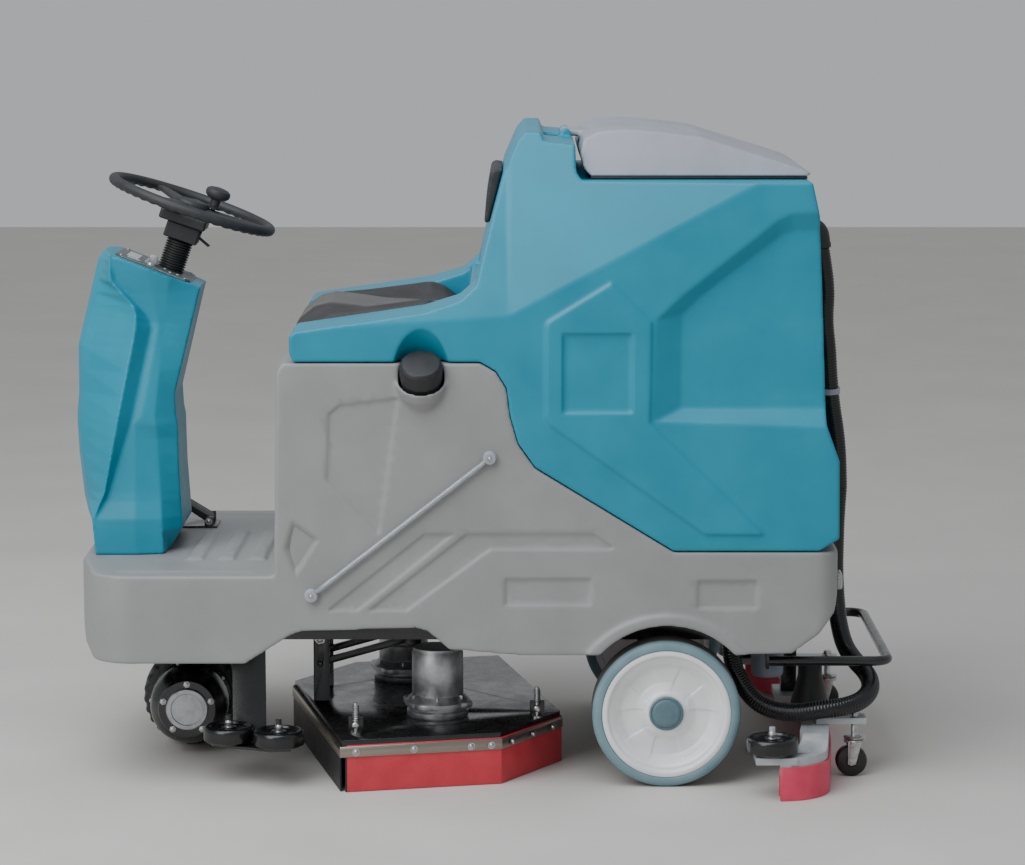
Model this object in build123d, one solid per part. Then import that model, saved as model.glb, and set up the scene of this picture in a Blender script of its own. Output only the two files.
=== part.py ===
"""Ride-on floor scrubber: moulded tanks on a steel frame, with a steered drive wheel, a skewed
twin-disc brush deck and a curved rear squeegee.

Millimetres. +Z up, the floor at Z = 0, the front towards -Y and the driver's left side on +X.
The origin is on the floor under the middle of the machine.
"""
from build123d import *
from math import cos, pi, radians, sin, sqrt, tan
import os

# ---------------------------------------------------------------- driving dimensions
LENGTH = 1698.0           # column nose to guard bar
BODY_WIDTH = 820.0        # moulded tanks, side to side
HEIGHT = 1318.0           # top of the recovery tank's lid
WALL = 7.0                # moulded tank wall
GAP = 1.0                 # between pieces that sit together and move apart
PLAY = 0.05               # radial running clearance of a shaft
STEEL = 5.0               # bracket and deck plate

FRONT = -LENGTH / 2
REAR = LENGTH / 2
HALF = BODY_WIDTH / 2
BODY_FRONT = FRONT + 25.0
BODY_REAR = REAR - 129.0
SKIRT_Z = 254.0           # lower edge of the moulded body
STEP_Z = 433.0            # footwell floor
SPLIT_Z = 483.0           # body meets recovery tank at the rear
SEAT_BASE_Z = 863.0       # body meets seat pan at the front
SEAT_FRONT = -402.0       # front wall of the seat box
SEAT_RIM_Z = 924.0        # front rim of the seat pan
TANK_TOP_Z = 1220.0       # recovery tank shoulder that the lid sits on
CROWN_Z = 1314.0          # top of the backrest
TOP_HALF = 335.0          # half width of the recovery tank at its shoulder
CORNER_R = 85.0           # body corners in plan
BOW = 55.0                # the front falls back this far at each side
BOW_FLAT = 150.0          # from this far out

AXLE_Y = BODY_REAR - 343.0
TYRE_R = 150.0
TYRE_WIDTH = 72.0
WHEEL_OUT_X = 405.0       # outer face of a rear tyre
RIM_R = 130.0
AXLE_R = 12.5
ARCH_R = 183.0
RAIL_X = 276.0
RAIL_W = 20.0
RAIL_H = 40.0
RAIL_Z = 280.0

DRIVE_Y = FRONT + 237.0
DRIVE_R = 105.0
DRIVE_WIDTH = 84.0
HOUSING_R = 86.0
HOUSING_X = 156.0         # outer face of the drive housing
KINGPIN_R = 16.0
KINGPIN_TOP = 362.0

RAKE = 19.0               # steering axis leans back by this many degrees
WHEEL_Y = FRONT + 247.0
WHEEL_Z = 1148.0
WHEEL_RIM_R = 170.0
WHEEL_TUBE_R = 11.5
SHAFT_R = 10.0
PLATE_SLOPE = 21.0        # console plate
PLATE_Y = FRONT + 169.0
PLATE_Z = 1019.0
PLATE_LENGTH = 166.0
PLATE_WIDTH = 146.0

DECK_SKEW = 13.0          # left end of the deck stands further back
DECK_HALF = 372.0
DECK_FRONT = -367.0       # in the deck's own turned frame
DECK_REAR = 122.0
DECK_CUT = 164.0          # chamfered rear corner
DECK_Z = 106.0
SKIRT_TOP = 78.0
BRUSH_R = 174.0
BRUSH_P = 182.0
BRUSH_Q = -132.0
MOTOR_R = 55.0
MOTOR_TOP = 250.0
ARM_X = 62.0
ARM_BACK = (-166.0, 288.0)
ARM_FRONT = (-338.0, 240.0)
ARM_DROP = 55.0           # lower links hang this far below the upper ones
PIN_R = 6.0

SQUEEGEE_HALF = 520.0
SQUEEGEE_END_Y = AXLE_Y + 221.0
SQUEEGEE_BEND = (436.0, AXLE_Y + 327.0)
SQUEEGEE_MID_Y = AXLE_Y + 355.0
BLADE_Z = 64.0
SQUEEGEE_PIVOT_Y = AXLE_Y + 277.0
TOW_Y = AXLE_Y + 183.0
TOW_Z = 215.0
CASTER_X = 300.0
CASTER_Y = AXLE_Y + 389.0
CASTER_TRAIL = 6.0
CASTER_R = 32.0
ROLLER_R = 52.0
ROLLER_H = 34.0

TILT_Y = BODY_REAR - 8.0
TILT_Z = SPLIT_Z + 14.0
LID_Y = 176.0
LID_Z = 1298.0

CAP_Y = -114.0
CAP_R = 41.0
CAP_TILT = 36.0           # filler cap leans outwards
NECK_R = 33.0
HOSE_R = 19.0

BAY_HALF = 250.0          # battery bay
BAY_FRONT = SEAT_FRONT + 30.0
BAY_REAR = 30.0
BAY_Z = 440.0
CAP_X = HALF - 5.0        # middle of the filler collar's mouth
CAP_Z = 830.0
RIDGE_Y = 60.0            # where the flank's crease meets the seat side
RIDGE_Z = 955.0
MOUTH_HALF = 240.0        # recovery tank's opening under the lid
MOUTH_FRONT = 290.0
MOUTH_REAR = 590.0
SEAT_HALF = 232.0
SEAT_FLOOR_Z = 892.0
LUG_GAP = 62.0            # between the middle and a lid lug
LID_PIN_R = 5.0
LID_HALF = 318.0
SEAL_T = 5.0
TILT_PIN_R = 7.0
TILT_X = 250.0
KEY_XY = (46.0, -6.0)     # on the console plate
BUTTON_XY = (-48.0, 30.0)
KNOB_OUT = 44.0
KNOB_STEM_R = 5.0
JOINT_DROP = 455.0        # wheel to universal joint, along the raked shaft
COLLAR_TOP = -22.0
SPROCKET_R = 24.0         # the kingpin's sprocket is three times as large
CHAIN_Z = 352.0
CHAIN_H = 7.0
CHAIN_GAP = 0.4
KING_Z = 326.0            # underside of the kingpin plate
ROLLER_A = (344.0, -509.0)
ROLLER_B = (384.0, -405.0)
FOOT_Z = 74.0
PEDAL_X = -215.0
PEDAL_PIVOT = (-592.0, 448.0)
VALVE = (320.0, 186.0, 286.0)
LAMP_X = 345.0
LAMP_Z = 412.0
GUARD_X = 262.0
GUARD_Z = 230.0
TUBE_R = 10.0
SPINDLE_R = 11.0          # brush spindle
CAST_TOP = 112.0          # top of the squeegee casting
RAMP_X = 410.0
STEM_R = 7.0
ROLLER_X = 478.0
ROLLER_Y = AXLE_Y + 207.0
INLET = (120.0, AXLE_Y + 313.0)


ON_BASE = (Align.CENTER, Align.CENTER, Align.MIN)


# ---------------------------------------------------------------- helpers
def side_face(points, x):
    """A face with (y, z) corners, standing at x."""
    return make_face(Polyline(*[(x, y, z) for y, z in points], close=True))


def side_prism(points, x0, x1):
    """A (y, z) outline carried from x0 to x1."""
    return extrude(side_face(points, x0), amount=x1 - x0, dir=(1, 0, 0))


def plan_prism(points, z0, z1):
    """An (x, y) outline carried from z0 to z1."""
    return extrude(make_face(Polyline(*[(x, y, z0) for x, y in points], close=True)),
                   amount=z1 - z0, dir=(0, 0, 1))


def block(x0, x1, y0, y1, z0, z1):
    """A box between two corners."""
    return Pos((x0 + x1) / 2, (y0 + y1) / 2, (z0 + z1) / 2) * Box(x1 - x0, y1 - y0, z1 - z0)


def rod(start, end, radius):
    """A round bar between two points."""
    run = Vector(*end) - Vector(*start)
    base = Plane(origin=start, z_dir=run.normalized())
    return base * Cylinder(radius, run.length, align=ON_BASE)


def both_sides(shape):
    """The shape and its mirror image across the machine's middle."""
    return shape + mirror(shape, about=Plane.YZ)


def group(*shapes):
    """Separate solids kept in one node."""
    return Compound([solid for shape in shapes for solid in shape.solids()])


def beyond(p, q, r, size=2500.0):
    """A half space on the far side of the plane through p, q and r."""
    normal = (Vector(*q) - Vector(*p)).cross(Vector(*r) - Vector(*p)).normalized()
    face = Plane(origin=p, z_dir=normal)
    return face * Box(size, size, size, align=ON_BASE)


def bent_tube(points, radii, radius):
    """A round bar or hose along straight runs joined by arcs."""
    path = FilletPolyline(*points, radius=radii)
    start = Plane(origin=path @ 0, z_dir=path % 0)
    return sweep(start * Circle(radius), path=path)


def arc_radii(points, share=0.45):
    """The largest even arcs for a hose's route: a share of the shorter run at each corner."""
    radii = []
    for before, here, after in zip(points, points[1:], points[2:]):
        first = Vector(*here) - Vector(*before)
        second = Vector(*after) - Vector(*here)
        turn = radians(first.get_angle(second))
        radii.append(share * min(first.length, second.length) / tan(turn / 2))
    return radii


def deck_place(p, q, z=0.0):
    """A point of the brush deck's turned frame."""
    turn = radians(DECK_SKEW)
    return (p * cos(turn) - q * sin(turn), p * sin(turn) + q * cos(turn), z)


DECK_FRAME = Plane(origin=(0, 0, 0), x_dir=deck_place(1, 0), z_dir=(0, 0, 1))
STEER_AXIS = (0, sin(radians(RAKE)), cos(radians(RAKE)))


def on_steering(height):
    """A point on the steering axis, this far above the wheel's middle plane."""
    return (0, WHEEL_Y + height * STEER_AXIS[1], WHEEL_Z + height * STEER_AXIS[2])


def steer_frame(height):
    """A frame square to the steering axis."""
    return Plane(origin=on_steering(height), x_dir=(1, 0, 0), z_dir=STEER_AXIS)


# ---------------------------------------------------------------- moulded bodies
def parting_line():
    """The seam between the two tanks, from the seat's front down to the rear, as (y, z)."""
    return [(3, SEAT_BASE_Z), (34, SEAT_BASE_Z - 18), (55, 811), (62, 756), (78, 700), (112, 652),
            (389, SPLIT_Z), (BODY_REAR, SPLIT_Z)]


def solution_tank():
    """Grey moulded body: footwell, seat box with side tanks, battery bay, skirt and arches."""
    upper = [(y, z - GAP) for y, z in parting_line()]
    lower = [(BODY_REAR, 392), (BODY_REAR - 6, 358), (BODY_REAR - 40, 314), (BODY_REAR - 92, 276),
             (AXLE_Y + 140, 272), (AXLE_Y - 300, 272), (-60, 284), (-104, 322), (-130, 328),
             (-358, 320), (-378, 313), (-470, SKIRT_Z), (BODY_FRONT + 8, SKIRT_Z)]
    front = [(BODY_FRONT, 290), (BODY_FRONT, STEP_Z - 12), (BODY_FRONT + 8, STEP_Z),
             (SEAT_FRONT - 8, STEP_Z), (SEAT_FRONT, SEAT_BASE_Z - 20),
             (SEAT_FRONT + 12, SEAT_BASE_Z - GAP)]
    body = side_prism(upper + lower + front, -HALF, HALF)
    bow = [(BOW_FLAT, BODY_FRONT), (BOW_FLAT, BODY_FRONT - 20), (HALF + 20, BODY_FRONT - 20),
           (HALF + 20, BODY_FRONT + BOW * (HALF + 20 - BOW_FLAT) / (HALF - BOW_FLAT))]
    body -= both_sides(plan_prism(bow, SKIRT_Z - 20, STEP_Z + 20))
    plan = [e for e in body.edges().filter_by(Axis.Z) if e.length > 60]
    body = fillet([e for e in plan if e.center().Y < BODY_FRONT + BOW + 4
                   and abs(e.center().X) > HALF - 1], CORNER_R)
    body = fillet([e for e in body.edges().filter_by(Axis.Z)
                   if e.length > 60 and e.center().Y > BODY_REAR - 4], CORNER_R / 2)
    inner = HALF - WALL
    skirt = [(BODY_FRONT + 26, SKIRT_Z - 40), (BODY_REAR - 26, SKIRT_Z - 40),
             (BODY_REAR - 26, SPLIT_Z - 30), (AXLE_Y - 20, SPLIT_Z - 30), (150, 400),
             (BODY_FRONT + 26, 400)]
    body -= side_prism(skirt, -BOW_FLAT, BOW_FLAT)
    middle = [(max(y, BODY_FRONT + BOW + 26), z) for y, z in skirt]
    body -= side_prism(middle, -inner + CORNER_R / 2, inner - CORNER_R / 2)
    wide = [(BODY_FRONT + BOW + CORNER_R, SKIRT_Z - 40), (BODY_REAR - 60, SKIRT_Z - 40),
            (BODY_REAR - 60, SPLIT_Z - 30), (AXLE_Y - 20, SPLIT_Z - 30), (150, 400),
            (BODY_FRONT + BOW + CORNER_R, 400)]
    body -= side_prism(wide, -inner, inner)
    body -= block(-BAY_HALF, BAY_HALF, BAY_FRONT, BAY_REAR, BAY_Z, SEAT_BASE_Z + 10)
    side_tank = [(SEAT_FRONT + 18, 414), (SEAT_FRONT + 24, SEAT_BASE_Z - 14), (-10, SEAT_BASE_Z - 14),
                 (46, 806), (54, 754), (70, 696), (110, 640), (136, 414)]
    tank = side_prism(side_tank, BAY_HALF + 14, inner)
    body -= both_sides(tank)
    behind = [(44, 414), (BODY_REAR - 60, 414), (BODY_REAR - 60, SPLIT_Z - 14), (392, SPLIT_Z - 14),
              (124, 644), (92, 700), (74, 760), (66, 800), (44, 812)]
    body -= side_prism(behind, -BAY_HALF + 10, BAY_HALF - 10)
    arch = rod((WHEEL_OUT_X - TYRE_WIDTH - 30, AXLE_Y, TYRE_R), (HALF + 20, AXLE_Y, TYRE_R), ARCH_R)
    liner = rod((WHEEL_OUT_X - TYRE_WIDTH - 30, AXLE_Y, TYRE_R), (HALF - 0.5, AXLE_Y, TYRE_R),
                ARCH_R + 8)
    body += both_sides(liner - block(-HALF, HALF, AXLE_Y - 300, AXLE_Y + 300, -100, 280))
    body -= both_sides(arch)
    flare = rod((HALF - 2, AXLE_Y, TYRE_R), (HALF + 7, AXLE_Y, TYRE_R), ARCH_R + 20)
    flare -= rod((HALF - 20, AXLE_Y, TYRE_R), (HALF + 20, AXLE_Y, TYRE_R), ARCH_R)
    flare -= block(0, HALF + 40, AXLE_Y - 300, AXLE_Y + 300, -100, 274)
    body += both_sides(flare)
    body += filler_boss()
    body -= rod(cap_axis(-90), cap_axis(10), NECK_R)
    body -= rod(cap_axis(-14), cap_axis(90), CAP_R + 4)
    column_y = on_steering(-JOINT_DROP)[1]
    body -= rod((0, column_y, 380), (0, column_y, STEP_Z + 20), SHAFT_R + 6)
    body -= both_sides(footwell_groove())
    body -= both_sides(side_panels())
    return body


def cap_direction():
    """The filler cap's axis, leaning outwards."""
    return (sin(radians(CAP_TILT)), 0, cos(radians(CAP_TILT)))


def cap_axis(height):
    """A point of the filler cap's axis, from the middle of the collar's mouth."""
    x, _, z = cap_direction()
    return (CAP_X + height * x, CAP_Y, CAP_Z + height * z)


def filler_boss():
    """The half cone that carries the filler neck out of the side wall."""
    collar = rod(cap_axis(-24), cap_axis(0), CAP_R + 10)
    base = Plane(origin=cap_axis(-104), z_dir=cap_direction())
    taper = base * Cone(CAP_R - 3, CAP_R + 9, 80.5, align=ON_BASE)
    inside = block(0, HALF - WALL, CAP_Y - 80, CAP_Y + 80, 600, SEAT_BASE_Z + 60)
    above = block(0, HALF, CAP_Y - 80, CAP_Y + 80, SEAT_BASE_Z - GAP, SEAT_BASE_Z + 60)
    return collar + taper - inside - above


def footwell_groove():
    """The shallow channel along the footwell's edge."""
    return block(HALF - 62, HALF - 50, BODY_FRONT + 90, SEAT_FRONT - 60, STEP_Z - 4, STEP_Z + 10)


def side_panels():
    """Shallow recessed bands on the body's side."""
    x0 = HALF - 3.0
    band = [(-110, 519), (-50, 519), (-244, 362), (-304, 364)]
    rail = [(-26, 519), (230, 519), (268, 493), (264, 487), (24, 487), (10, 478), (-146, 362),
            (-222, 364)]
    box_a = [(52, 429), (224, 429), (224, 374), (52, 374)]
    box_b = [(437, 425), (556, 425), (556, 368), (437, 368)]
    shapes = [side_prism(points, x0, HALF + 10) for points in (band, rail, box_a, box_b)]
    return shapes[0] + shapes[1] + shapes[2] + shapes[3]


def recovery_outline():
    """The recovery tank's side view: seat pan, backrest, shoulder, rear wall and parting seam."""
    seam = [(y, z + GAP) for y, z in parting_line()[:-1]]
    rear = [(BODY_REAR - 40, SPLIT_Z + GAP), (BODY_REAR, SPLIT_Z + 26), (BODY_REAR - 2, 665),
            (BODY_REAR - 28, 736), (BODY_REAR - 40, 1036), (BODY_REAR - 46, 1150),
            (BODY_REAR - 62, TANK_TOP_Z)]
    back = [(204, TANK_TOP_Z), (194, 1236), (192, 1290), (130, 1296), (124, CROWN_Z), (92, CROWN_Z),
            (76, 1296), (50, 1236), (10, 1084), (-6, 1014), (-40, 984), (-110, 962),
            (SEAT_FRONT + 34, SEAT_RIM_Z),
            (SEAT_FRONT + 26, SEAT_RIM_Z - 10), (SEAT_FRONT + 26, SEAT_BASE_Z + 18),
            (SEAT_FRONT + 34, SEAT_BASE_Z + GAP)]
    return rear + back + seam


def recovery_tank():
    """Teal moulded tank with the seat pan and backrest in one piece, hollow behind the seat."""
    body = side_prism(recovery_outline(), -HALF, HALF)
    ridge_low = (HALF, RIDGE_Y, RIDGE_Z)
    shoulder = (TOP_HALF, RIDGE_Y + 60, TANK_TOP_Z)
    rear_slope = beyond(ridge_low, (HALF, RIDGE_Y + 440, RIDGE_Z + 235), shoulder)
    rear_slope &= block(0, 2 * HALF, RIDGE_Y, REAR, 0, 2 * HEIGHT)
    front_slope = beyond(ridge_low, (TOP_HALF, RIDGE_Y, RIDGE_Z + 225), (HALF, SEAT_FRONT, SEAT_RIM_Z))
    front_slope &= block(0, 2 * HALF, FRONT, RIDGE_Y, 0, 2 * HEIGHT)
    body -= both_sides(rear_slope + front_slope)
    body -= both_sides(rear_recess())
    body += both_sides(side_plateau())
    cavity = [(120, 700), (400, SPLIT_Z + 24), (BODY_REAR - 30, SPLIT_Z + 24), (BODY_REAR - 30, 660),
              (BODY_REAR - 56, 740), (BODY_REAR - 76, TANK_TOP_Z - 14), (90, TANK_TOP_Z - 14),
              (40, 1060), (40, 900)]
    room = side_prism(cavity, -HALF, HALF)
    inner = HALF - 24 - WALL
    front_view = [(-inner, 500), (inner, 500), (inner, 950), (TOP_HALF - 14, 1190),
                  (TOP_HALF - 14, TANK_TOP_Z), (14 - TOP_HALF, TANK_TOP_Z), (14 - TOP_HALF, 1190),
                  (-inner, 950)]
    section = make_face(Polyline(*[(x, -500, z) for x, z in front_view], close=True))
    body -= room & extrude(section, amount=1400, dir=(0, 1, 0))
    arm_rest = [(SEAT_FRONT + 36, SEAT_BASE_Z - 10), (SEAT_FRONT + 36, SEAT_RIM_Z - 10),
                (-110, 950), (-60, 960), (-60, SEAT_BASE_Z - 10)]
    rests = both_sides(side_prism(arm_rest, SEAT_HALF + WALL, HALF - 16 - WALL))
    body -= rests - rod(cap_axis(-20), cap_axis(150), CAP_R + 15 + WALL)
    body -= block(-MOUTH_HALF, MOUTH_HALF, MOUTH_FRONT, MOUTH_REAR, 1100, TANK_TOP_Z + 20)
    body -= block(-SEAT_HALF, SEAT_HALF, SEAT_FRONT + 20, -20, SEAT_FLOOR_Z, 1100)
    body -= block(-SEAT_HALF, SEAT_HALF, -20.5, 0, 1000, 1100)
    body -= block(-LUG_GAP, LUG_GAP, 132, 214, LID_Z - 28, CROWN_Z + 20)
    lug = rod((LUG_GAP, LID_Y, LID_Z), (LUG_GAP + 12, LID_Y, LID_Z), 12)
    lug += block(LUG_GAP, LUG_GAP + 12, LID_Y - 12, LID_Y + 12, LID_Z - 20, LID_Z)
    body += both_sides(lug)
    body += rod((-LUG_GAP - 12, LID_Y, LID_Z), (LUG_GAP + 12, LID_Y, LID_Z), LID_PIN_R)
    body -= cap_scoop()
    body -= both_sides(tilt_pocket())
    knuckle = block(TILT_X - 10, TILT_X + 10, TILT_Y - 27, TILT_Y + 10, TILT_Z - 10, TILT_Z + 27)
    knuckle -= rod((TILT_X - 30, TILT_Y, TILT_Z), (TILT_X + 30, TILT_Y, TILT_Z), TILT_PIN_R + PLAY)
    return body + both_sides(knuckle)


def cap_scoop():
    """The hollow in the seat pan's edge that leaves room to unscrew the filler cap."""
    return rod(cap_axis(-20), cap_axis(150), CAP_R + 15)


def tilt_pocket():
    """Slot for the tilt hinge's leaf at the tank's lower rear edge."""
    return block(TILT_X - 22, TILT_X + 22, TILT_Y - 26, BODY_REAR + 20, SPLIT_Z - 10, TILT_Z + 26)


def rear_recess():
    """The wide sunken panel at the tank's rear quarter, with sloped walls."""
    outer = [(BODY_REAR + 20, 1166), (618, 1160), (590, 1146), (400, 996), (350, 948), (344, 744),
             (BODY_REAR + 20, 731)]
    inner = [(BODY_REAR + 20, 1122), (624, 1122), (596, 1112), (446, 996), (404, 958), (402, 770),
             (BODY_REAR + 20, 770)]
    top = side_face(outer, HALF + 0.5)
    floor = side_face(inner, HALF - 24)
    return loft([floor, top], ruled=True)


def side_plateau():
    """The raised panel on the tank's flank, with its square sunken label field."""
    outer = [(262, 1028), (132, 948), (128, 938), (128, 752), (138, 733), (448, 513), (568, 511),
             (574, 517), (344, 744), (347, 945)]
    inner = [(262, 1018), (140, 943), (136, 934), (136, 755), (145, 739), (452, 521), (558, 520),
             (562, 522), (338, 742), (340, 942)]
    panel = loft([side_face(outer, HALF - 2), side_face(inner, HALF + 6)], ruled=True)
    return panel - block(HALF + 2, HALF + 20, 168, 303, 765, 919)


def tank_lid():
    """Light grey cover of the recovery tank, open underneath, hinged at its front tab."""
    base = TANK_TOP_Z + SEAL_T + GAP
    outline = [(224, base), (210, 1240), (202, 1270), (210, 1301), (242, HEIGHT - 3), (290, HEIGHT),
               (355, HEIGHT - 3), (446, HEIGHT - 15), (530, HEIGHT - 41), (600, 1255), (645, 1240),
               (664, base + 6), (656, base)]
    lid = side_prism(outline, -LID_HALF, LID_HALF)
    lid -= both_sides(beyond((LID_HALF, 200, base), (LID_HALF, 660, base), (LID_HALF - 34, 200, 1302)))
    inside = [(234, base - 10), (218, 1240), (210, 1270), (218, 1296), (246, HEIGHT - 11),
              (290, HEIGHT - 8), (352, HEIGHT - 11), (444, HEIGHT - 24), (527, HEIGHT - 50), (596, 1247),
              (634, 1234), (648, base - 10)]
    hollow = side_prism(inside, -LID_HALF + 8, LID_HALF - 8)
    slope = ((LID_HALF - 8, 200, base), (LID_HALF - 8, 660, base), (LID_HALF - 42, 200, 1302))
    hollow -= both_sides(beyond(*slope))
    lid -= hollow
    tab = rod((-LUG_GAP + 2, LID_Y, LID_Z), (LUG_GAP - 2, LID_Y, LID_Z), 11)
    tab += block(-LUG_GAP + 2, LUG_GAP - 2, LID_Y, 216, LID_Z - 5, LID_Z + 9)
    lid += tab
    return lid - rod((-200, LID_Y, LID_Z), (200, LID_Y, LID_Z), LID_PIN_R + PLAY)


def lid_seal():
    """Black foam seal on the lid's lower rim."""
    z0 = TANK_TOP_Z + GAP
    ring = block(-LID_HALF + 1, LID_HALF - 1, 223, 655, z0, z0 + SEAL_T)
    return ring - block(-LID_HALF + 22, LID_HALF - 22, 242, 636, z0 - 5, z0 + 20)


def column_section(z, y0, y1, half, nose):
    """A level slice through the steering column: a chamfered box with a narrower front."""
    side = (y1 - y0) * 0.42
    points = [(-nose, y0), (nose, y0), (half, y0 + side), (half, y1 - 16), (half - 16, y1),
              (16 - half, y1), (-half, y1 - 16), (-half, y0 + side)]
    return make_face(Polyline(*[(x, y, z) for x, y in points], close=True))


def column_cover():
    """Teal moulded steering column, hollow, with a sloped top for the console plate."""
    rows = [(STEP_Z, BODY_FRONT + 9, FRONT + 197, 165, 96), (560, FRONT + 13, FRONT + 223, 160, 86),
            (715, FRONT, FRONT + 214, 148, 72), (866, FRONT + 7, FRONT + 238, 124, 62),
            (1100, FRONT + 64, FRONT + 300, 98, 54)]
    shell = loft([column_section(*row) for row in rows], ruled=True)
    inside = [(STEP_Z - 1, BODY_FRONT + 19, FRONT + 187, 155, 90),
              (560, FRONT + 23, FRONT + 213, 150, 80), (715, FRONT + 10, FRONT + 204, 138, 66),
              (866, FRONT + 17, FRONT + 228, 114, 56), (1101, FRONT + 74, FRONT + 290, 88, 48)]
    shell -= loft([column_section(*row) for row in inside], ruled=True)
    top = Plane(origin=(0, PLATE_Y, PLATE_Z), x_dir=(1, 0, 0), z_dir=plate_normal())
    shell -= top * Box(600, 600, 300, align=ON_BASE)
    return shell


def plate_normal():
    """The console plate's upward normal."""
    return (0, sin(radians(PLATE_SLOPE)), cos(radians(PLATE_SLOPE)))


def plate_frame(height=0.0):
    """A frame on the console plate's top face."""
    n = plate_normal()
    origin = (0, PLATE_Y + height * n[1], PLATE_Z + height * n[2])
    return Plane(origin=origin, x_dir=(1, 0, 0), z_dir=n)


def console_plate():
    """Dark plate that closes the column, with holes for the boot, the key and the button."""
    plate = plate_frame(0.2) * Box(PLATE_WIDTH, PLATE_LENGTH, 4, align=ON_BASE)
    for x, y in KEY_XY, BUTTON_XY:
        plate -= plate_frame(-10) * Pos(x, y, 0) * Cylinder(8.5, 60)
    plate -= rod(on_steering(-200), on_steering(20), SHAFT_R + 4)
    return plate


def key_switch():
    """Key barrel with its bow, turned a quarter turn to start."""
    frame = plate_frame(-8) * Pos(KEY_XY[0], KEY_XY[1], 0)
    barrel = frame * Cylinder(8.4, 16, align=ON_BASE)
    bow = frame * Pos(0, 0, 16) * Box(4, 16, 18, align=ON_BASE)
    return barrel + bow


def stop_button():
    """Round push button beside the steering boot."""
    frame = plate_frame(-8) * Pos(BUTTON_XY[0], BUTTON_XY[1], 0)
    stem = frame * Cylinder(8.2, 18, align=ON_BASE)
    head = frame * Pos(0, 0, 18) * Cylinder(15, 9, align=ON_BASE)
    return stem + fillet(head.edges(), 2)


# ---------------------------------------------------------------- steering
def steering_wheel():
    """Moulded rim with three spokes and a hub."""
    frame = steer_frame(0)
    wheel = frame * Torus(WHEEL_RIM_R, WHEEL_TUBE_R)
    for turn in (90, 210, 330):
        spoke = Pos(WHEEL_RIM_R / 2, 0, -4) * Box(WHEEL_RIM_R, 26, 12)
        wheel += frame * Rot(0, 0, turn) * spoke
    wheel += frame * Pos(0, 0, -6) * Cylinder(38, 26)
    wheel -= frame * Pos(0, 0, -22) * Cylinder(SHAFT_R + 0.5, 30)
    wheel -= frame * Pos(0, KNOB_OUT, 0) * Cylinder(KNOB_STEM_R + PLAY, 60)
    return wheel


def spinner_knob():
    """Mushroom knob that turns on a stem through the rear spoke."""
    frame = steer_frame(0) * Pos(0, KNOB_OUT, 0)
    stem = frame * Pos(0, 0, 3) * Cylinder(KNOB_STEM_R, 30)
    neck = frame * Pos(0, 0, 12.5) * Cylinder(9, 19, align=ON_BASE)
    head = frame * Pos(0, 0, 38) * Cylinder(26, 24)
    return stem + neck + fillet(head.edges(), 9)


def steering_shaft():
    """Raked shaft from the wheel's hub down to the universal joint."""
    return rod(on_steering(-JOINT_DROP), on_steering(-8), SHAFT_R)


def column_shaft():
    """Upright shaft from the universal joint down to the small chain sprocket."""
    x, y, z = on_steering(-JOINT_DROP)
    shaft = rod((x, y, CHAIN_Z - 14), (x, y, z - 8), SHAFT_R)
    return shaft + rod((x, y, CHAIN_Z), (x, y, CHAIN_Z + CHAIN_H), SPROCKET_R)


def steering_chain():
    """Chain loop round the column's sprocket and the three times larger one on the kingpin."""
    y = on_steering(-JOINT_DROP)[1]
    loops = []
    for grow in (CHAIN_GAP + 4, CHAIN_GAP):
        small = Pos(0, y) * Circle(SPROCKET_R + grow)
        large = Pos(0, DRIVE_Y) * Circle(3 * SPROCKET_R + grow)
        loops.append(make_hull([*small.edges(), *large.edges()]))
    return Pos(0, 0, CHAIN_Z) * extrude(loops[0] - loops[1], amount=CHAIN_H, dir=(0, 0, 1))


def steering_collar():
    """Black block under the hub that carries the tilt lever."""
    frame = steer_frame(0)
    wide = frame * Pos(0, -6, COLLAR_TOP - 16) * Box(96, 100, 32)
    slim = frame * Pos(0, 0, COLLAR_TOP - 56) * Box(72, 72, 48)
    lever = frame * Pos(0, 42, COLLAR_TOP - 62) * Rot(60, 0, 0) * Cylinder(4, 44)
    body = fillet(wide.edges(), 6) + fillet(slim.edges(), 4) + lever
    return body - rod(on_steering(-240), on_steering(0), SHAFT_R + 1.5)


def column_boot():
    """Ribbed rubber boot between the collar and the console plate."""
    top = COLLAR_TOP - 80.5
    pitch = 5.6
    count = 9
    boot = None
    for i in range(count):
        ring = steer_frame(top - pitch * (i + 1)) * Cylinder(28 if i % 2 else 24, pitch, align=ON_BASE)
        boot = ring if boot is None else boot + ring
    below = plate_frame(4.6) * Box(200, 200, 100, align=(Align.CENTER, Align.CENTER, Align.MAX))
    return boot - below - rod(on_steering(-260), on_steering(0), SHAFT_R + 3)


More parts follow.
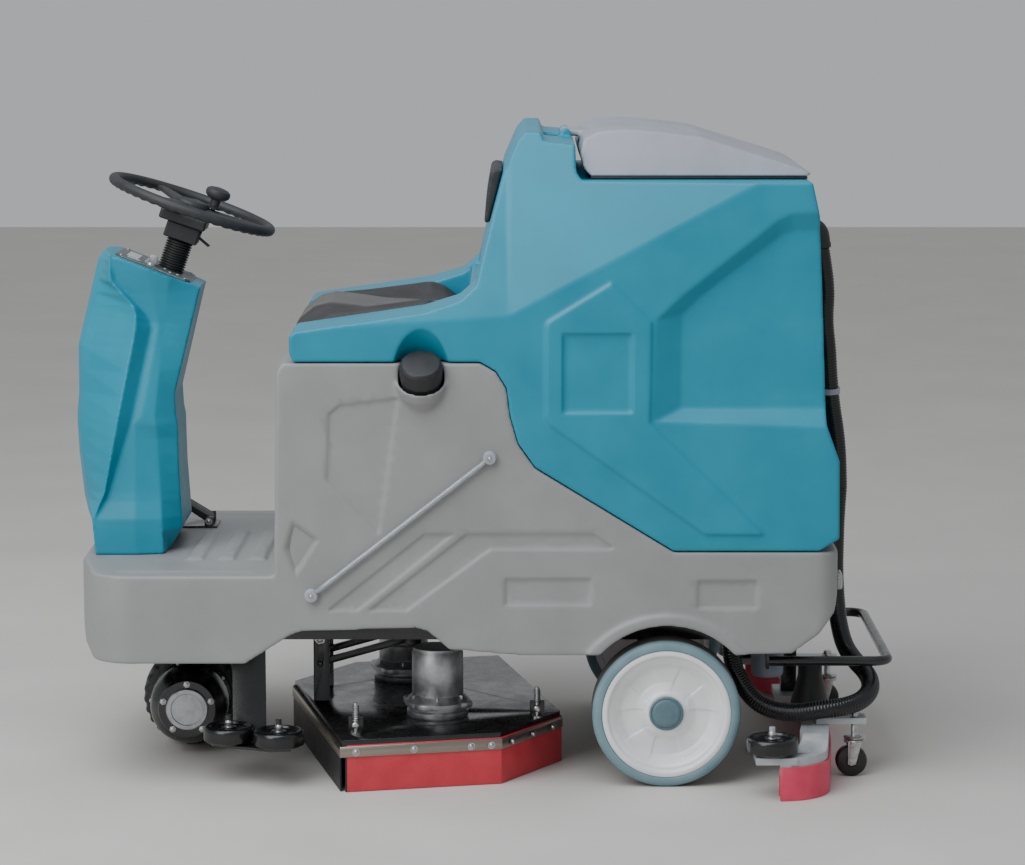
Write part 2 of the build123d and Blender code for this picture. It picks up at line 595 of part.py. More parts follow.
# ---------------------------------------------------------------- frame and drive
def chassis_frame():
    """Welded steel frame: rails, cross members, kingpin plate, axle plates and roller bracket."""
    rail = block(RAIL_X - RAIL_W / 2, RAIL_X + RAIL_W / 2, -730, 600, RAIL_Z, RAIL_Z + RAIL_H)
    frame = both_sides(rail)
    for y0, y1 in (-730, -700), (-440, -400), (80, 120), (560, 600):
        frame += block(-RAIL_X, RAIL_X, y0, y1, RAIL_Z + 2, RAIL_Z + RAIL_H - 2)
    frame += block(-RAIL_X, RAIL_X, DRIVE_Y - 95, DRIVE_Y + 95, KING_Z, KING_Z + 10)
    riser = block(RAIL_X - RAIL_W / 2, RAIL_X, DRIVE_Y - 95, DRIVE_Y + 95, RAIL_Z + RAIL_H - 2, KING_Z + 2)
    frame += both_sides(riser)
    boss = Pos(0, DRIVE_Y, KING_Z - 8) * Cylinder(38, 30, align=ON_BASE)
    frame += boss
    column_y = on_steering(-JOINT_DROP)[1]
    frame += block(-60, 60, column_y - 26, -700, KING_Z, KING_Z + 10)
    frame -= rod((0, column_y, 200), (0, column_y, 500), SHAFT_R + PLAY)
    frame -= rod((0, DRIVE_Y, 200), (0, DRIVE_Y, 500), KINGPIN_R + PLAY)
    axle_plate = block(RAIL_X - 4, RAIL_X + 6, AXLE_Y - 34, AXLE_Y + 34, TYRE_R - 34, RAIL_Z + 10)
    frame += both_sides(axle_plate)
    frame += both_sides(rod((RAIL_X, AXLE_Y, TYRE_R), (WHEEL_OUT_X - 22, AXLE_Y, TYRE_R), AXLE_R))
    frame += both_sides(rod((RAIL_X, AXLE_Y, TYRE_R), (RAIL_X + 14, AXLE_Y, TYRE_R), 30))
    frame += both_sides(arm_bracket())
    frame += block(-26, 26, TOW_Y - 16, TOW_Y + 40, TOW_Z + 26, RAIL_Z + 10)
    ear = block(18, 26, TOW_Y - 16, TOW_Y + 16, TOW_Z - 16, TOW_Z + 30)
    frame += both_sides(ear)
    frame -= rod((-60, TOW_Y, TOW_Z), (60, TOW_Y, TOW_Z), PIN_R)
    return frame + roller_bracket()


def arm_bracket():
    """Plate that hangs from the middle of the frame for the deck's lift arms."""
    y, z = ARM_BACK
    plate = block(ARM_X - 16, ARM_X - 9, y - 18, y + 40, z - ARM_DROP - 18, z + 18)
    plate += block(ARM_X - 16, ARM_X - 9, y + 20, 90, RAIL_Z + 6, RAIL_Z + 34)
    plate -= rod((0, y, z), (HALF, y, z), PIN_R)
    return plate - rod((0, y, z - ARM_DROP), (HALF, y, z - ARM_DROP), PIN_R)


def roller_bracket():
    """Bent plate that carries the two bumper rollers beside the deck."""
    x = RAIL_X + RAIL_W / 2
    drop = block(x, x + STEEL, -505, -437, FOOT_Z, RAIL_Z + 20)
    foot = plan_prism([(x, -560), (ROLLER_A[0] + 18, -540), (ROLLER_B[0] + 26, -420),
                       (ROLLER_B[0] + 20, -380), (x, -400)], FOOT_Z, FOOT_Z + STEEL)
    pins = None
    for px, py in ROLLER_A, ROLLER_B:
        pin = Pos(px, py, FOOT_Z) * Cylinder(PIN_R, 62, align=ON_BASE)
        pins = pin if pins is None else pins + pin
    return drop + foot + pins


def bumper_roller(place):
    """Rubber-faced roller, dished on top, on its upright pin."""
    x, y = place
    z0 = FOOT_Z + STEEL + 1.5
    wheel = Pos(x, y, z0) * Cylinder(ROLLER_R, ROLLER_H, align=ON_BASE)
    wheel = fillet(wheel.edges(), 5)
    wheel -= Pos(x, y, z0 + ROLLER_H - 7) * Cylinder(ROLLER_R - 11, 12, align=ON_BASE)
    wheel += Pos(x, y, z0 + ROLLER_H - 8) * Cylinder(16, 12, align=ON_BASE)
    return wheel - Pos(x, y, z0 - 5) * Cylinder(PIN_R + PLAY, 80, align=ON_BASE)


def drive_fork():
    """Kingpin, top plate and one-sided arm of the steered drive unit."""
    pin = rod((0, DRIVE_Y, KING_Z - 30), (0, DRIVE_Y, KINGPIN_TOP), KINGPIN_R)
    top = Pos(0, DRIVE_Y, KING_Z - 42) * Cylinder(70, 12, align=ON_BASE)
    pin += Pos(0, DRIVE_Y, KING_Z - 30) * Cylinder(26, 20, align=ON_BASE)
    x0 = DRIVE_WIDTH / 2 + 8
    arm = block(x0, x0 + 12, DRIVE_Y - 40, DRIVE_Y + 40, DRIVE_R + 20, KING_Z - 32)
    arm += rod((x0, DRIVE_Y, DRIVE_R), (x0 + 12, DRIVE_Y, DRIVE_R), HOUSING_R - 6)
    fork = pin + top + arm
    fork += rod((0, DRIVE_Y, CHAIN_Z), (0, DRIVE_Y, CHAIN_Z + CHAIN_H), 3 * SPROCKET_R)
    return fork - rod((0, DRIVE_Y, DRIVE_R), (200, DRIVE_Y, DRIVE_R), 14 + 0.5)


def drive_housing():
    """Round gear and motor housing on the fork's arm."""
    x0 = DRIVE_WIDTH / 2 + 20
    body = rod((x0, DRIVE_Y, DRIVE_R), (HOUSING_X - 8, DRIVE_Y, DRIVE_R), HOUSING_R)
    body = fillet(body.edges().sort_by(Axis.X)[-1], 14)
    body += rod((HOUSING_X - 12, DRIVE_Y, DRIVE_R), (HOUSING_X - 4, DRIVE_Y, DRIVE_R), 60)
    for i in range(5):
        turn = 2 * pi * i / 5
        y = DRIVE_Y + 53 * cos(turn)
        z = DRIVE_R + 53 * sin(turn)
        body += rod((HOUSING_X - 6, y, z), (HOUSING_X, y, z), 5)
    return body - rod((0, DRIVE_Y, DRIVE_R), (200, DRIVE_Y, DRIVE_R), 14 + PLAY)


def drive_tyre():
    """Solid tyre of the drive wheel on its cast centre."""
    half = DRIVE_WIDTH / 2
    tyre = rod((-half, DRIVE_Y, DRIVE_R), (half, DRIVE_Y, DRIVE_R), DRIVE_R)
    tyre = fillet(tyre.edges(), 12)
    for x0, x1 in (-half - 1, -half + 10), (half - 10, half + 1):
        tyre -= rod((x0, DRIVE_Y, DRIVE_R), (x1, DRIVE_Y, DRIVE_R), DRIVE_R - 34)
    return tyre - rod((-90, DRIVE_Y, DRIVE_R), (90, DRIVE_Y, DRIVE_R), 14)


def drive_hub():
    """Drive shaft with its bright end disc."""
    shaft = rod((-DRIVE_WIDTH / 2, DRIVE_Y, DRIVE_R), (HOUSING_X + 1, DRIVE_Y, DRIVE_R), 14)
    disc = rod((HOUSING_X - 3.5, DRIVE_Y, DRIVE_R), (HOUSING_X + 6, DRIVE_Y, DRIVE_R), 44)
    disc = fillet(disc.edges().sort_by(Axis.X)[-1], 3)
    disc -= rod((HOUSING_X + 3, DRIVE_Y, DRIVE_R), (HOUSING_X + 8, DRIVE_Y, DRIVE_R), 31)
    return shaft + disc


def wheel_turned(points):
    """A ring turned about a rear wheel's axle from (x, radius) corners."""
    face = make_face(Polyline(*[(x, AXLE_Y, TYRE_R + r) for x, r in points], close=True))
    return revolve(face, axis=Axis((0, AXLE_Y, TYRE_R), (1, 0, 0)))


def rear_rim():
    """Cast rim with a dished web, an outer lip and a hub boss, and its round cap."""
    out = WHEEL_OUT_X
    width = TYRE_WIDTH
    bore = AXLE_R + PLAY
    web = [(out - width + 6, bore), (out - 16, bore), (out - 16, 36), (out - 20, 42), (out - 30, 60),
           (out - 34, 104), (out - 10, 114), (out - 2, 118), (out - 2, RIM_R), (out - width + 4, RIM_R),
           (out - width + 4, 118), (out - 44, 112), (out - 44, 60), (out - 36, 34),
           (out - width + 6, 34)]
    rim = wheel_turned(web)
    cap = wheel_turned([(out - 15.5, 0), (out - 5, 0), (out - 7, 22), (out - 10, 30), (out - 15.5, 30)])
    return group(rim, cap)


def rear_tyre():
    """Non-marking rubber tyre on the rim."""
    out = WHEEL_OUT_X
    width = TYRE_WIDTH
    section = [(out - width, RIM_R + 0.02), (out, RIM_R + 0.02), (out, TYRE_R - 7), (out - 7, TYRE_R),
               (out - width + 7, TYRE_R), (out - width, TYRE_R - 7)]
    return wheel_turned(section)


def accelerator_pedal():
    """Ribbed treadle, hinged at its heel."""
    y, z = PEDAL_PIVOT
    plate = side_prism([(y - 4, z - 4), (y + 6, z + 6), (y - 66, z + 50), (y - 72, z + 42)],
                       PEDAL_X - 34, PEDAL_X + 34)
    plate += rod((PEDAL_X - 34, y, z), (PEDAL_X + 34, y, z), 7)
    return plate - rod((PEDAL_X - 60, y, z), (PEDAL_X + 60, y, z), 3 + PLAY)


def pedal_base():
    """Foot plate with two ears and the pedal's pin."""
    y, z = PEDAL_PIVOT
    base = block(PEDAL_X - 44, PEDAL_X + 44, y - 70, y + 18, STEP_Z + 0.3, STEP_Z + 4)
    for x0, x1 in (PEDAL_X - 44, PEDAL_X - 36), (PEDAL_X + 36, PEDAL_X + 44):
        base += block(x0, x1, y - 9, y + 9, STEP_Z + 2, z + 9)
    return base + rod((PEDAL_X - 44, y, z), (PEDAL_X + 44, y, z), 3)


# ---------------------------------------------------------------- seat, caps and fittings
def seat_cushion():
    """Moulded seat, crowned at the front and raised along both sides."""
    rim = SEAT_RIM_Z + 0.5
    outline = [(SEAT_FRONT + 36, rim), (SEAT_FRONT + 20, rim + 2), (SEAT_FRONT + 32, 946),
               (SEAT_FRONT + 62, 962), (SEAT_FRONT + 96, 968), (-150, 962), (-104, 968), (-70, 956),
               (-30, 925), (-24, SEAT_FLOOR_Z + 0.5), (SEAT_FRONT + 36, SEAT_FLOOR_Z + 0.5)]
    return side_prism(outline, -SEAT_HALF + 6, SEAT_HALF - 6)


def back_pad():
    """Lumbar pad on the face of the backrest."""
    return side_prism([(19, 1120), (47, 1229), (30, 1232), (22, 1226), (14, 1180), (9, 1122)], -165, 165)


def filler_cap():
    """Screw cap of the solution tank."""
    cap = Pos(0, 0, -13.5) * Cylinder(CAP_R, 57, align=ON_BASE)
    cap = fillet(cap.edges().sort_by(Axis.Z)[-1], 4)
    plug = Pos(0, 0, -38) * Cylinder(NECK_R - 0.6, 25, align=ON_BASE)
    return Plane(origin=cap_axis(0), x_dir=(0, 1, 0), z_dir=cap_direction()) * (cap + plug)


def sight_tube():
    """Clear level tube between two round fittings on the left side."""
    low = (HALF + 9, -335, 395)
    high = (HALF + 9, 22, 673)
    tube = rod(low, high, 5)
    for _, y, z in low, high:
        tube += rod((HALF + 0.2, y, z), (HALF + 16, y, z), 13)
    return tube


def drain_valve():
    """Solution shut-off valve and level drain under the body, in front of the left rear wheel."""
    x, y, z = VALVE
    body = rod((x, y, z - 18), (x, y, z + 40), 17)
    body += rod((x, y - 26, z), (x, y + 26, z), 12)
    body += Pos(x, y - 75, z - 14) * Cylinder(22, 40, align=ON_BASE)
    body += block(x - 8, x + 8, y - 75, y, z + 14, z + 26)
    return body - rod((x, y, z - 30), (x, y, z - 6), 4 + PLAY)


def valve_lever():
    """Red quarter-turn lever below the shut-off valve."""
    x, y, z = VALVE
    stem = rod((x, y, z - 26), (x, y, z - 8), 4)
    return stem + block(x - 7, x + 7, y - 16, y + 40, z - 26, z - 21)


def battery_pack():
    """Four batteries in the bay under the seat."""
    length = (BAY_REAR - BAY_FRONT - 30) / 2
    width = BAY_HALF - 15
    cells = []
    for ix in (-1, 1):
        for iy in (0, 1):
            x0 = 5 if ix > 0 else -5 - width
            y0 = BAY_FRONT + 10 + iy * (length + 10)
            cell = block(x0, x0 + width, y0, y0 + length, BAY_Z, BAY_Z + 270)
            cell += Pos(x0 + 40, y0 + 40, BAY_Z + 270) * Cylinder(9, 14)
            cell += Pos(x0 + width - 40, y0 + 40, BAY_Z + 270) * Cylinder(9, 14)
            cells.append(cell)
    return group(*cells)


def vacuum_motor():
    """Suction motor inside the recovery tank, under its own dome."""
    low = Pos(0, 170, 960) * Cylinder(70, 150, align=ON_BASE)
    return low + Pos(0, 170, 1110) * Cylinder(45, 60, align=ON_BASE)


def lamp_lenses():
    """Capsule lamps on the rear wall, near both corners."""
    lens = rod((LAMP_X, BODY_REAR, LAMP_Z), (LAMP_X, BODY_REAR + 12, LAMP_Z), 17)
    lens += rod((LAMP_X - 34, BODY_REAR, LAMP_Z), (LAMP_X - 34, BODY_REAR + 12, LAMP_Z), 17)
    lens += block(LAMP_X - 34, LAMP_X, BODY_REAR, BODY_REAR + 12, LAMP_Z - 17, LAMP_Z + 17)
    return group(lens, mirror(lens, about=Plane.YZ))


def tank_hinge():
    """Tilt hinge pins with their leaves on the body's rear edge."""
    leaf = block(TILT_X - 20, TILT_X - 12, TILT_Y - 14, TILT_Y + 14, SPLIT_Z - GAP, TILT_Z + 12)
    leaf += block(TILT_X + 12, TILT_X + 20, TILT_Y - 14, TILT_Y + 14, SPLIT_Z - GAP, TILT_Z + 12)
    leaf += rod((TILT_X - 20, TILT_Y, TILT_Z), (TILT_X + 20, TILT_Y, TILT_Z), TILT_PIN_R)
    return group(leaf, mirror(leaf, about=Plane.YZ))


def guard_bar():
    """Level U of steel tube round the back of the squeegee, bolted to the frame rails' ends."""
    z = GUARD_Z
    x = GUARD_X
    points = [(x, 590, z), (x, REAR - TUBE_R, z), (-x, REAR - TUBE_R, z), (-x, 590, z)]
    bar = bent_tube(points, [34, 34], TUBE_R)
    flange = block(x - 14, x + 14, 586, 592, z - 14, RAIL_Z - 0.5)
    return bar + both_sides(flange)


# ---------------------------------------------------------------- brush deck
def deck_outline(grow=0.0):
    """The deck's plan: square left front and right rear, cut at the left rear and right front."""
    h = DECK_HALF + grow
    front = DECK_FRONT - grow
    back = DECK_REAR + grow
    cut = DECK_CUT + grow * 0.6
    corners = [(h, front), (h, back - cut), (h - cut, back), (-h, back), (-h, front + cut),
               (-h + cut, front)]
    return [deck_place(p, q)[:2] for p, q in corners]


def deck_plate():
    """Folded steel deck with an open underside and the lift ears."""
    deck = plan_prism(deck_outline(), SKIRT_TOP, DECK_Z)
    deck -= plan_prism(deck_outline(-STEEL), SKIRT_TOP - 10, DECK_Z - STEEL)
    for side in (-1, 1):
        x, y, _ = deck_place(side * BRUSH_P, BRUSH_Q)
        deck -= rod((x, y, 0), (x, y, 200), 30)
    y, z = ARM_FRONT
    ear = block(ARM_X + 9, ARM_X + 15, y - 14, y + 20, DECK_Z - 2, z + 16)
    deck += both_sides(ear)
    deck -= rod((-200, y, z), (200, y, z), PIN_R)
    return deck - rod((-200, y, z - ARM_DROP), (200, y, z - ARM_DROP), PIN_R)


def deck_skirts():
    """Red rubber splash skirts hung around the deck."""
    outer = plan_prism(deck_outline(3.5), 1.0, SKIRT_TOP + 18)
    inner = plan_prism(deck_outline(0.2), 0.0, SKIRT_TOP + 30)
    ring = outer - inner
    for side in (-1, 1):
        a = deck_place(side * DECK_HALF, DECK_FRONT if side > 0 else DECK_REAR)
        ring -= rod((a[0], a[1], -10), (a[0], a[1], 120), 6)
    return ring


def clamp_strips():
    """Stainless strips that clamp the skirts on the deck's left side and rear."""
    outer = plan_prism(deck_outline(5.5), SKIRT_TOP - 6, SKIRT_TOP + 16)
    ring = outer - plan_prism(deck_outline(3.7), SKIRT_TOP - 20, SKIRT_TOP + 40)
    return ring


def brush_motors():
    """Two geared brush motors on the deck."""
    motors = []
    for side in (-1, 1):
        x, y, _ = deck_place(side * BRUSH_P, BRUSH_Q)
        base = Pos(x, y, DECK_Z) * Cylinder(70, 14, align=ON_BASE)
        base += Pos(x, y, DECK_Z + 14) * Cone(64, MOTOR_R, 30, align=ON_BASE)
        base += Pos(x, y, DECK_Z + 44) * Cylinder(MOTOR_R, MOTOR_TOP - DECK_Z - 44, align=ON_BASE)
        base -= Pos(x, y, DECK_Z - 2) * Cylinder(SPINDLE_R + PLAY, 30, align=ON_BASE)
        motors.append(base)
    return group(*motors)


def brush(side):
    """Disc brush: drive hub, backing plate and ring of bristles."""
    x, y, _ = deck_place(side * BRUSH_P, BRUSH_Q)
    disc = Pos(x, y, 52) * Cylinder(BRUSH_R - 12, 16, align=ON_BASE)
    disc += Pos(x, y, 66) * Cylinder(26, 26, align=ON_BASE)
    disc += Pos(x, y, 90) * Cylinder(SPINDLE_R, DECK_Z - 70, align=ON_BASE)
    bristles = Pos(x, y, 1) * Cone(BRUSH_R, BRUSH_R - 14, 52, align=ON_BASE)
    bristles -= Pos(x, y, -1) * Cylinder(90, 60, align=ON_BASE)
    return disc + bristles


def link(start, end, x0, x1, width=20.0):
    """A flat link between two pivots, with round ends."""
    run = sqrt((end[0] - start[0]) ** 2 + (end[1] - start[1]) ** 2)
    ny = -(end[1] - start[1]) / run * width / 2
    nz = (end[0] - start[0]) / run * width / 2
    bar = side_prism([(start[0] + ny, start[1] + nz), (end[0] + ny, end[1] + nz),
                      (end[0] - ny, end[1] - nz), (start[0] - ny, start[1] - nz)], x0, x1)
    for y, z in start, end:
        bar += rod((x0, y, z), (x1, y, z), width / 2)
    return bar


def lift_arms():
    """Upper pair of deck arms, tied by a cross tube."""
    arm = link(ARM_BACK, ARM_FRONT, ARM_X - 8, ARM_X + 8)
    y = (ARM_BACK[0] + ARM_FRONT[0]) / 2
    z = (ARM_BACK[1] + ARM_FRONT[1]) / 2
    arms = both_sides(arm) + rod((-ARM_X, y, z), (ARM_X, y, z), 9)
    for py, pz in ARM_BACK, ARM_FRONT:
        arms += both_sides(rod((ARM_X - 18, py, pz), (ARM_X + 18, py, pz), PIN_R - PLAY))
    return arms


def lower_links():
    """Lower pair of deck links, parallel to the arms."""
    back = (ARM_BACK[0], ARM_BACK[1] - ARM_DROP)
    front = (ARM_FRONT[0], ARM_FRONT[1] - ARM_DROP)
    bar = link(back, front, ARM_X - 6, ARM_X + 6, 14)
    bar += rod((ARM_X - 18, back[0], back[1]), (ARM_X + 6, back[0], back[1]), PIN_R - PLAY)
    bar += rod((ARM_X, front[0], front[1]), (ARM_X + 18, front[0], front[1]), PIN_R - 1.5)
    return group(bar, mirror(bar, about=Plane.YZ))


def lift_actuator():
    """Linear actuator that raises the deck, standing on the frame's cross member."""
    body = rod((0, -40, 300), (0, 60, 316), 24)
    return body + rod((0, -150, 282), (0, -40, 300), 9)


# ---------------------------------------------------------------- squeegee
def squeegee_line(inset=0.0):
    """The squeegee's plan curve, as two end arcs and one long middle arc."""
    x1 = SQUEEGEE_HALF - inset
    bx, by = SQUEEGEE_BEND
    by -= inset
    mid = SQUEEGEE_MID_Y - inset
    left = ThreePointArc((x1, SQUEEGEE_END_Y, 0), (x1 - 22, (SQUEEGEE_END_Y + by) / 2 + 14, 0),
                         (bx - inset, by, 0))
    centre = ThreePointArc((bx - inset, by, 0), (0, mid, 0), (-bx + inset, by, 0))
    right = ThreePointArc((-bx + inset, by, 0), (-x1 + 22, (SQUEEGEE_END_Y + by) / 2 + 14, 0),
                          (-x1, SQUEEGEE_END_Y, 0))
    return left + centre + right


def curved_strip(inset, thick, z0, z1):
    """An upright strip that follows the squeegee's curve."""
    outer = squeegee_line(inset)
    inner = squeegee_line(inset + thick)
    x_out = SQUEEGEE_HALF - inset
    x_in = x_out - thick
    ends = [Line((x_out, SQUEEGEE_END_Y, 0), (x_in, SQUEEGEE_END_Y, 0)),
            Line((-x_out, SQUEEGEE_END_Y, 0), (-x_in, SQUEEGEE_END_Y, 0))]
    face = make_face([*outer.edges(), *inner.edges(), *ends])
    return Pos(0, 0, z0) * extrude(face, amount=z1 - z0, dir=(0, 0, 1))


def squeegee_body():
    """Cast aluminium body: curved blade carrier, raised middle, low end plates and roller pins."""
    body = curved_strip(4.4, 24, BLADE_Z - 14, BLADE_Z + 22)
    high = curved_strip(4.4, 52, BLADE_Z + 10, CAST_TOP)
    ramp = [(RAMP_X + 44, BLADE_Z + 20), (RAMP_X, CAST_TOP), (0, CAST_TOP), (0, 0), (RAMP_X + 44, 0)]
    slope = extrude(make_face(Polyline(*[(x, 500, z) for x, z in ramp], close=True)), amount=400,
                    dir=(0, 1, 0))
    body += high & both_sides(slope)
    body += block(-60, 60, SQUEEGEE_PIVOT_Y - 30, SQUEEGEE_MID_Y - 40, CAST_TOP - 14, CAST_TOP)
    body += both_sides(block(ROLLER_X - 30, SQUEEGEE_HALF - 6, ROLLER_Y - 34, SQUEEGEE_END_Y + 34,
                             BLADE_Z + 8, BLADE_Z + 22))
    pin = rod((ROLLER_X, ROLLER_Y, BLADE_Z + 14), (ROLLER_X, ROLLER_Y, BLADE_Z + 78), PIN_R)
    body += both_sides(pin)
    boss = block(CASTER_X - 24, CASTER_X + 24, CASTER_Y - 80, CASTER_Y + 22, CAST_TOP, CAST_TOP + 12)
    body += both_sides(boss)
    body -= both_sides(rod((CASTER_X, CASTER_Y, 60), (CASTER_X, CASTER_Y, 160), STEM_R + PLAY))
    return body - rod((0, SQUEEGEE_PIVOT_Y, 40), (0, SQUEEGEE_PIVOT_Y, 160), 9 + PLAY)


def suction_inlet():
    """Tapered inlet on the squeegee, where the suction hose plugs in."""
    x, y = INLET
    z0 = CAST_TOP + 0.2
    funnel = Pos(x, y, z0) * Cone(40, 25, 60, align=ON_BASE)
    funnel += Pos(x, y, z0 + 60) * Cylinder(25, 30, align=ON_BASE)
    bore = Pos(x, y, z0 - 5) * Cylinder(18.5, 110, align=ON_BASE)
    return funnel - bore


def squeegee_blades():
    """Front and rear rubber blades."""
    rear = curved_strip(0.0, 4.0, 0.6, BLADE_Z + 4)
    front = curved_strip(30.0, 4.0, 3.0, BLADE_Z + 8)
    return group(rear, front)


def end_roller():
    """Bumper roller at the squeegee's left end."""
    z0 = BLADE_Z + 24
    wheel = Pos(ROLLER_X, ROLLER_Y, z0) * Cylinder(ROLLER_R, ROLLER_H, align=ON_BASE)
    wheel = fillet(wheel.edges(), 5)
    wheel -= Pos(ROLLER_X, ROLLER_Y, z0 + ROLLER_H - 7) * Cylinder(ROLLER_R - 11, 12, align=ON_BASE)
    wheel += Pos(ROLLER_X, ROLLER_Y, z0 + ROLLER_H - 8) * Cylinder(16, 12, align=ON_BASE)
    return wheel - rod((ROLLER_X, ROLLER_Y, z0 - 5), (ROLLER_X, ROLLER_Y, z0 + 80), PIN_R + PLAY)


def caster_fork():
    """Pressed fork with its swivel rings and stem on the left side."""
    z = CASTER_R
    top = CASTER_R * 2 + 10
    axle_y = CASTER_Y - CASTER_TRAIL
    stem = rod((CASTER_X, CASTER_Y, top), (CASTER_X, CASTER_Y, CAST_TOP + 16), STEM_R)
    fork = rod((CASTER_X, CASTER_Y, top - 4), (CASTER_X, CASTER_Y, top), 21)
    fork += rod((CASTER_X, CASTER_Y, top), (CASTER_X, CASTER_Y, top + 10), 17)
    for x0, x1 in (-18, -15), (15, 18):
        fork += side_prism([(axle_y - 8, z - 6), (axle_y + 8, z - 6), (CASTER_Y + 14, top),
                            (CASTER_Y - 14, top)], CASTER_X + x0, CASTER_X + x1)
    fork += rod((CASTER_X - 18, axle_y, z), (CASTER_X + 18, axle_y, z), 4)
    return fork + stem


def caster_wheel():
    """Solid rubber caster wheel on the left side."""
    y = CASTER_Y - CASTER_TRAIL
    wheel = rod((CASTER_X - 12, y, CASTER_R), (CASTER_X + 12, y, CASTER_R), CASTER_R)
    wheel = fillet(wheel.edges(), 4)
    return wheel - rod((CASTER_X - 20, y, CASTER_R), (CASTER_X + 20, y, CASTER_R), 4 + PLAY)


def tow_arm():
    """Arm from the frame to the squeegee's pivot, with its cross pin."""
    arm = block(-16, 16, TOW_Y - 12, SQUEEGEE_PIVOT_Y + 16, TOW_Z - 14, TOW_Z + 6)
    arm += block(-16, 16, SQUEEGEE_PIVOT_Y - 16, SQUEEGEE_PIVOT_Y + 16, CAST_TOP + 1, TOW_Z)
    arm += rod((0, SQUEEGEE_PIVOT_Y, CAST_TOP - 24), (0, SQUEEGEE_PIVOT_Y, CAST_TOP + 10), 9)
    arm += rod((-30, TOW_Y, TOW_Z), (30, TOW_Y, TOW_Z), PIN_R - PLAY)
    return arm


# ---------------------------------------------------------------- hoses
UPPER_HOSE = [(-20, BODY_REAR + 2, 1064), (-22, BODY_REAR + 14, 1020), (-30, BODY_REAR + 26, 962),
              (-26, BODY_REAR + 22, 902), (-20, BODY_REAR + 30, 842), (-28, BODY_REAR + 34, 782),
              (-34, BODY_REAR + 40, 722), (-30, BODY_REAR + 44, 662), (-24, BODY_REAR + 42, 602),
              (-22, BODY_REAR + 38, 545)]


LOWER_HOSE = [(-22, BODY_REAR + 38, 545), (-20, BODY_REAR + 34, 488), (-10, BODY_REAR + 32, 432),
              (4, BODY_REAR + 30, 376), (14, BODY_REAR + 32, 322), (34, BODY_REAR + 36, 268),
              (68, BODY_REAR + 46, 222), (118, BODY_REAR + 64, 200), (172, BODY_REAR + 80, 190),
              (224, BODY_REAR + 86, 180), (272, BODY_REAR + 80, 168), (312, BODY_REAR + 56, 156),
              (334, BODY_REAR + 16, 149), (338, BODY_REAR - 30, 145), (330, BODY_REAR - 76, 136),
              (316, BODY_REAR - 120, 138), (302, BODY_REAR - 158, 154),
              (288, BODY_REAR - 186, 190), (280, BODY_REAR - 206, 232),
              (280, BODY_REAR - 206, RAIL_Z - 0.5)]


def hose(points):
    """A plain tube along a hose's route."""
    radii = arc_radii(points)
    print("hose radii", [round(r) for r in radii])
    return bent_tube(points, radii, HOSE_R)


NODES = {
    "chassis_frame": chassis_frame,
    "solution_tank": solution_tank,
    "battery_pack": battery_pack,
    "column_cover": column_cover,
    "console_plate": console_plate,
    "key_switch": key_switch,
    "stop_button": stop_button,
    "steering_wheel": steering_wheel,
    "spinner_knob": spinner_knob,
    "steering_collar": steering_collar,
    "column_boot": column_boot,
    "steering_shaft": steering_shaft,
    "column_shaft": column_shaft,
    "steering_chain": steering_chain,
    "drive_fork": drive_fork,
    "drive_housing": drive_housing,
    "drive_tyre": drive_tyre,
    "drive_hub": drive_hub,
    "bumper_roller_front": lambda: bumper_roller(ROLLER_A),
    "bumper_roller_rear": lambda: bumper_roller(ROLLER_B),
    "rear_rim_left": rear_rim,
    "rear_rim_right": lambda: mirror(rear_rim(), about=Plane.YZ),
    "rear_tyre_left": rear_tyre,
    "rear_tyre_right": lambda: mirror(rear_tyre(), about=Plane.YZ),
    "accelerator_pedal": accelerator_pedal,
    "pedal_base": pedal_base,
    "seat_cushion": seat_cushion,
    "back_pad": back_pad,
    "recovery_tank": recovery_tank,
    "tank_hinge": tank_hinge,
    "tank_lid": tank_lid,
    "lid_seal": lid_seal,
    "filler_cap": filler_cap,
    "sight_tube": sight_tube,
    "drain_valve": drain_valve,
    "valve_lever": valve_lever,
    "vacuum_motor": vacuum_motor,
    "lamp_lenses": lamp_lenses,
    "guard_bar": guard_bar,
    "deck_plate": deck_plate,
    "deck_skirts": deck_skirts,
    "clamp_strips": clamp_strips,
    "brush_motors": brush_motors,
    "brush_left": lambda: brush(1),
    "brush_right": lambda: brush(-1),
    "lift_arms": lift_arms,
    "lower_links": lower_links,
    "lift_actuator": lift_actuator,
    "tow_arm": tow_arm,
    "squeegee_body": squeegee_body,
    "squeegee_blades": squeegee_blades,
    "suction_inlet": suction_inlet,
    "caster_fork_left": caster_fork,
    "caster_wheel_left": caster_wheel,
    "caster_fork_right": lambda: mirror(caster_fork(), about=Plane.YZ),
    "caster_wheel_right": lambda: mirror(caster_wheel(), about=Plane.YZ),
    "squeegee_roller_left": end_roller,
    "squeegee_roller_right": lambda: mirror(end_roller(), about=Plane.YZ),
    "hose_upper": lambda: hose(UPPER_HOSE),
    "hose_lower": lambda: hose(LOWER_HOSE),
}

os.makedirs("parts", exist_ok=True)
for name, make in NODES.items():
    export_step(make(), f"parts/{name}.step")
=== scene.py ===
import bpy
import bmesh
import numpy as np
from math import cos, exp, pi, radians, sin
from mathutils import Matrix, Vector


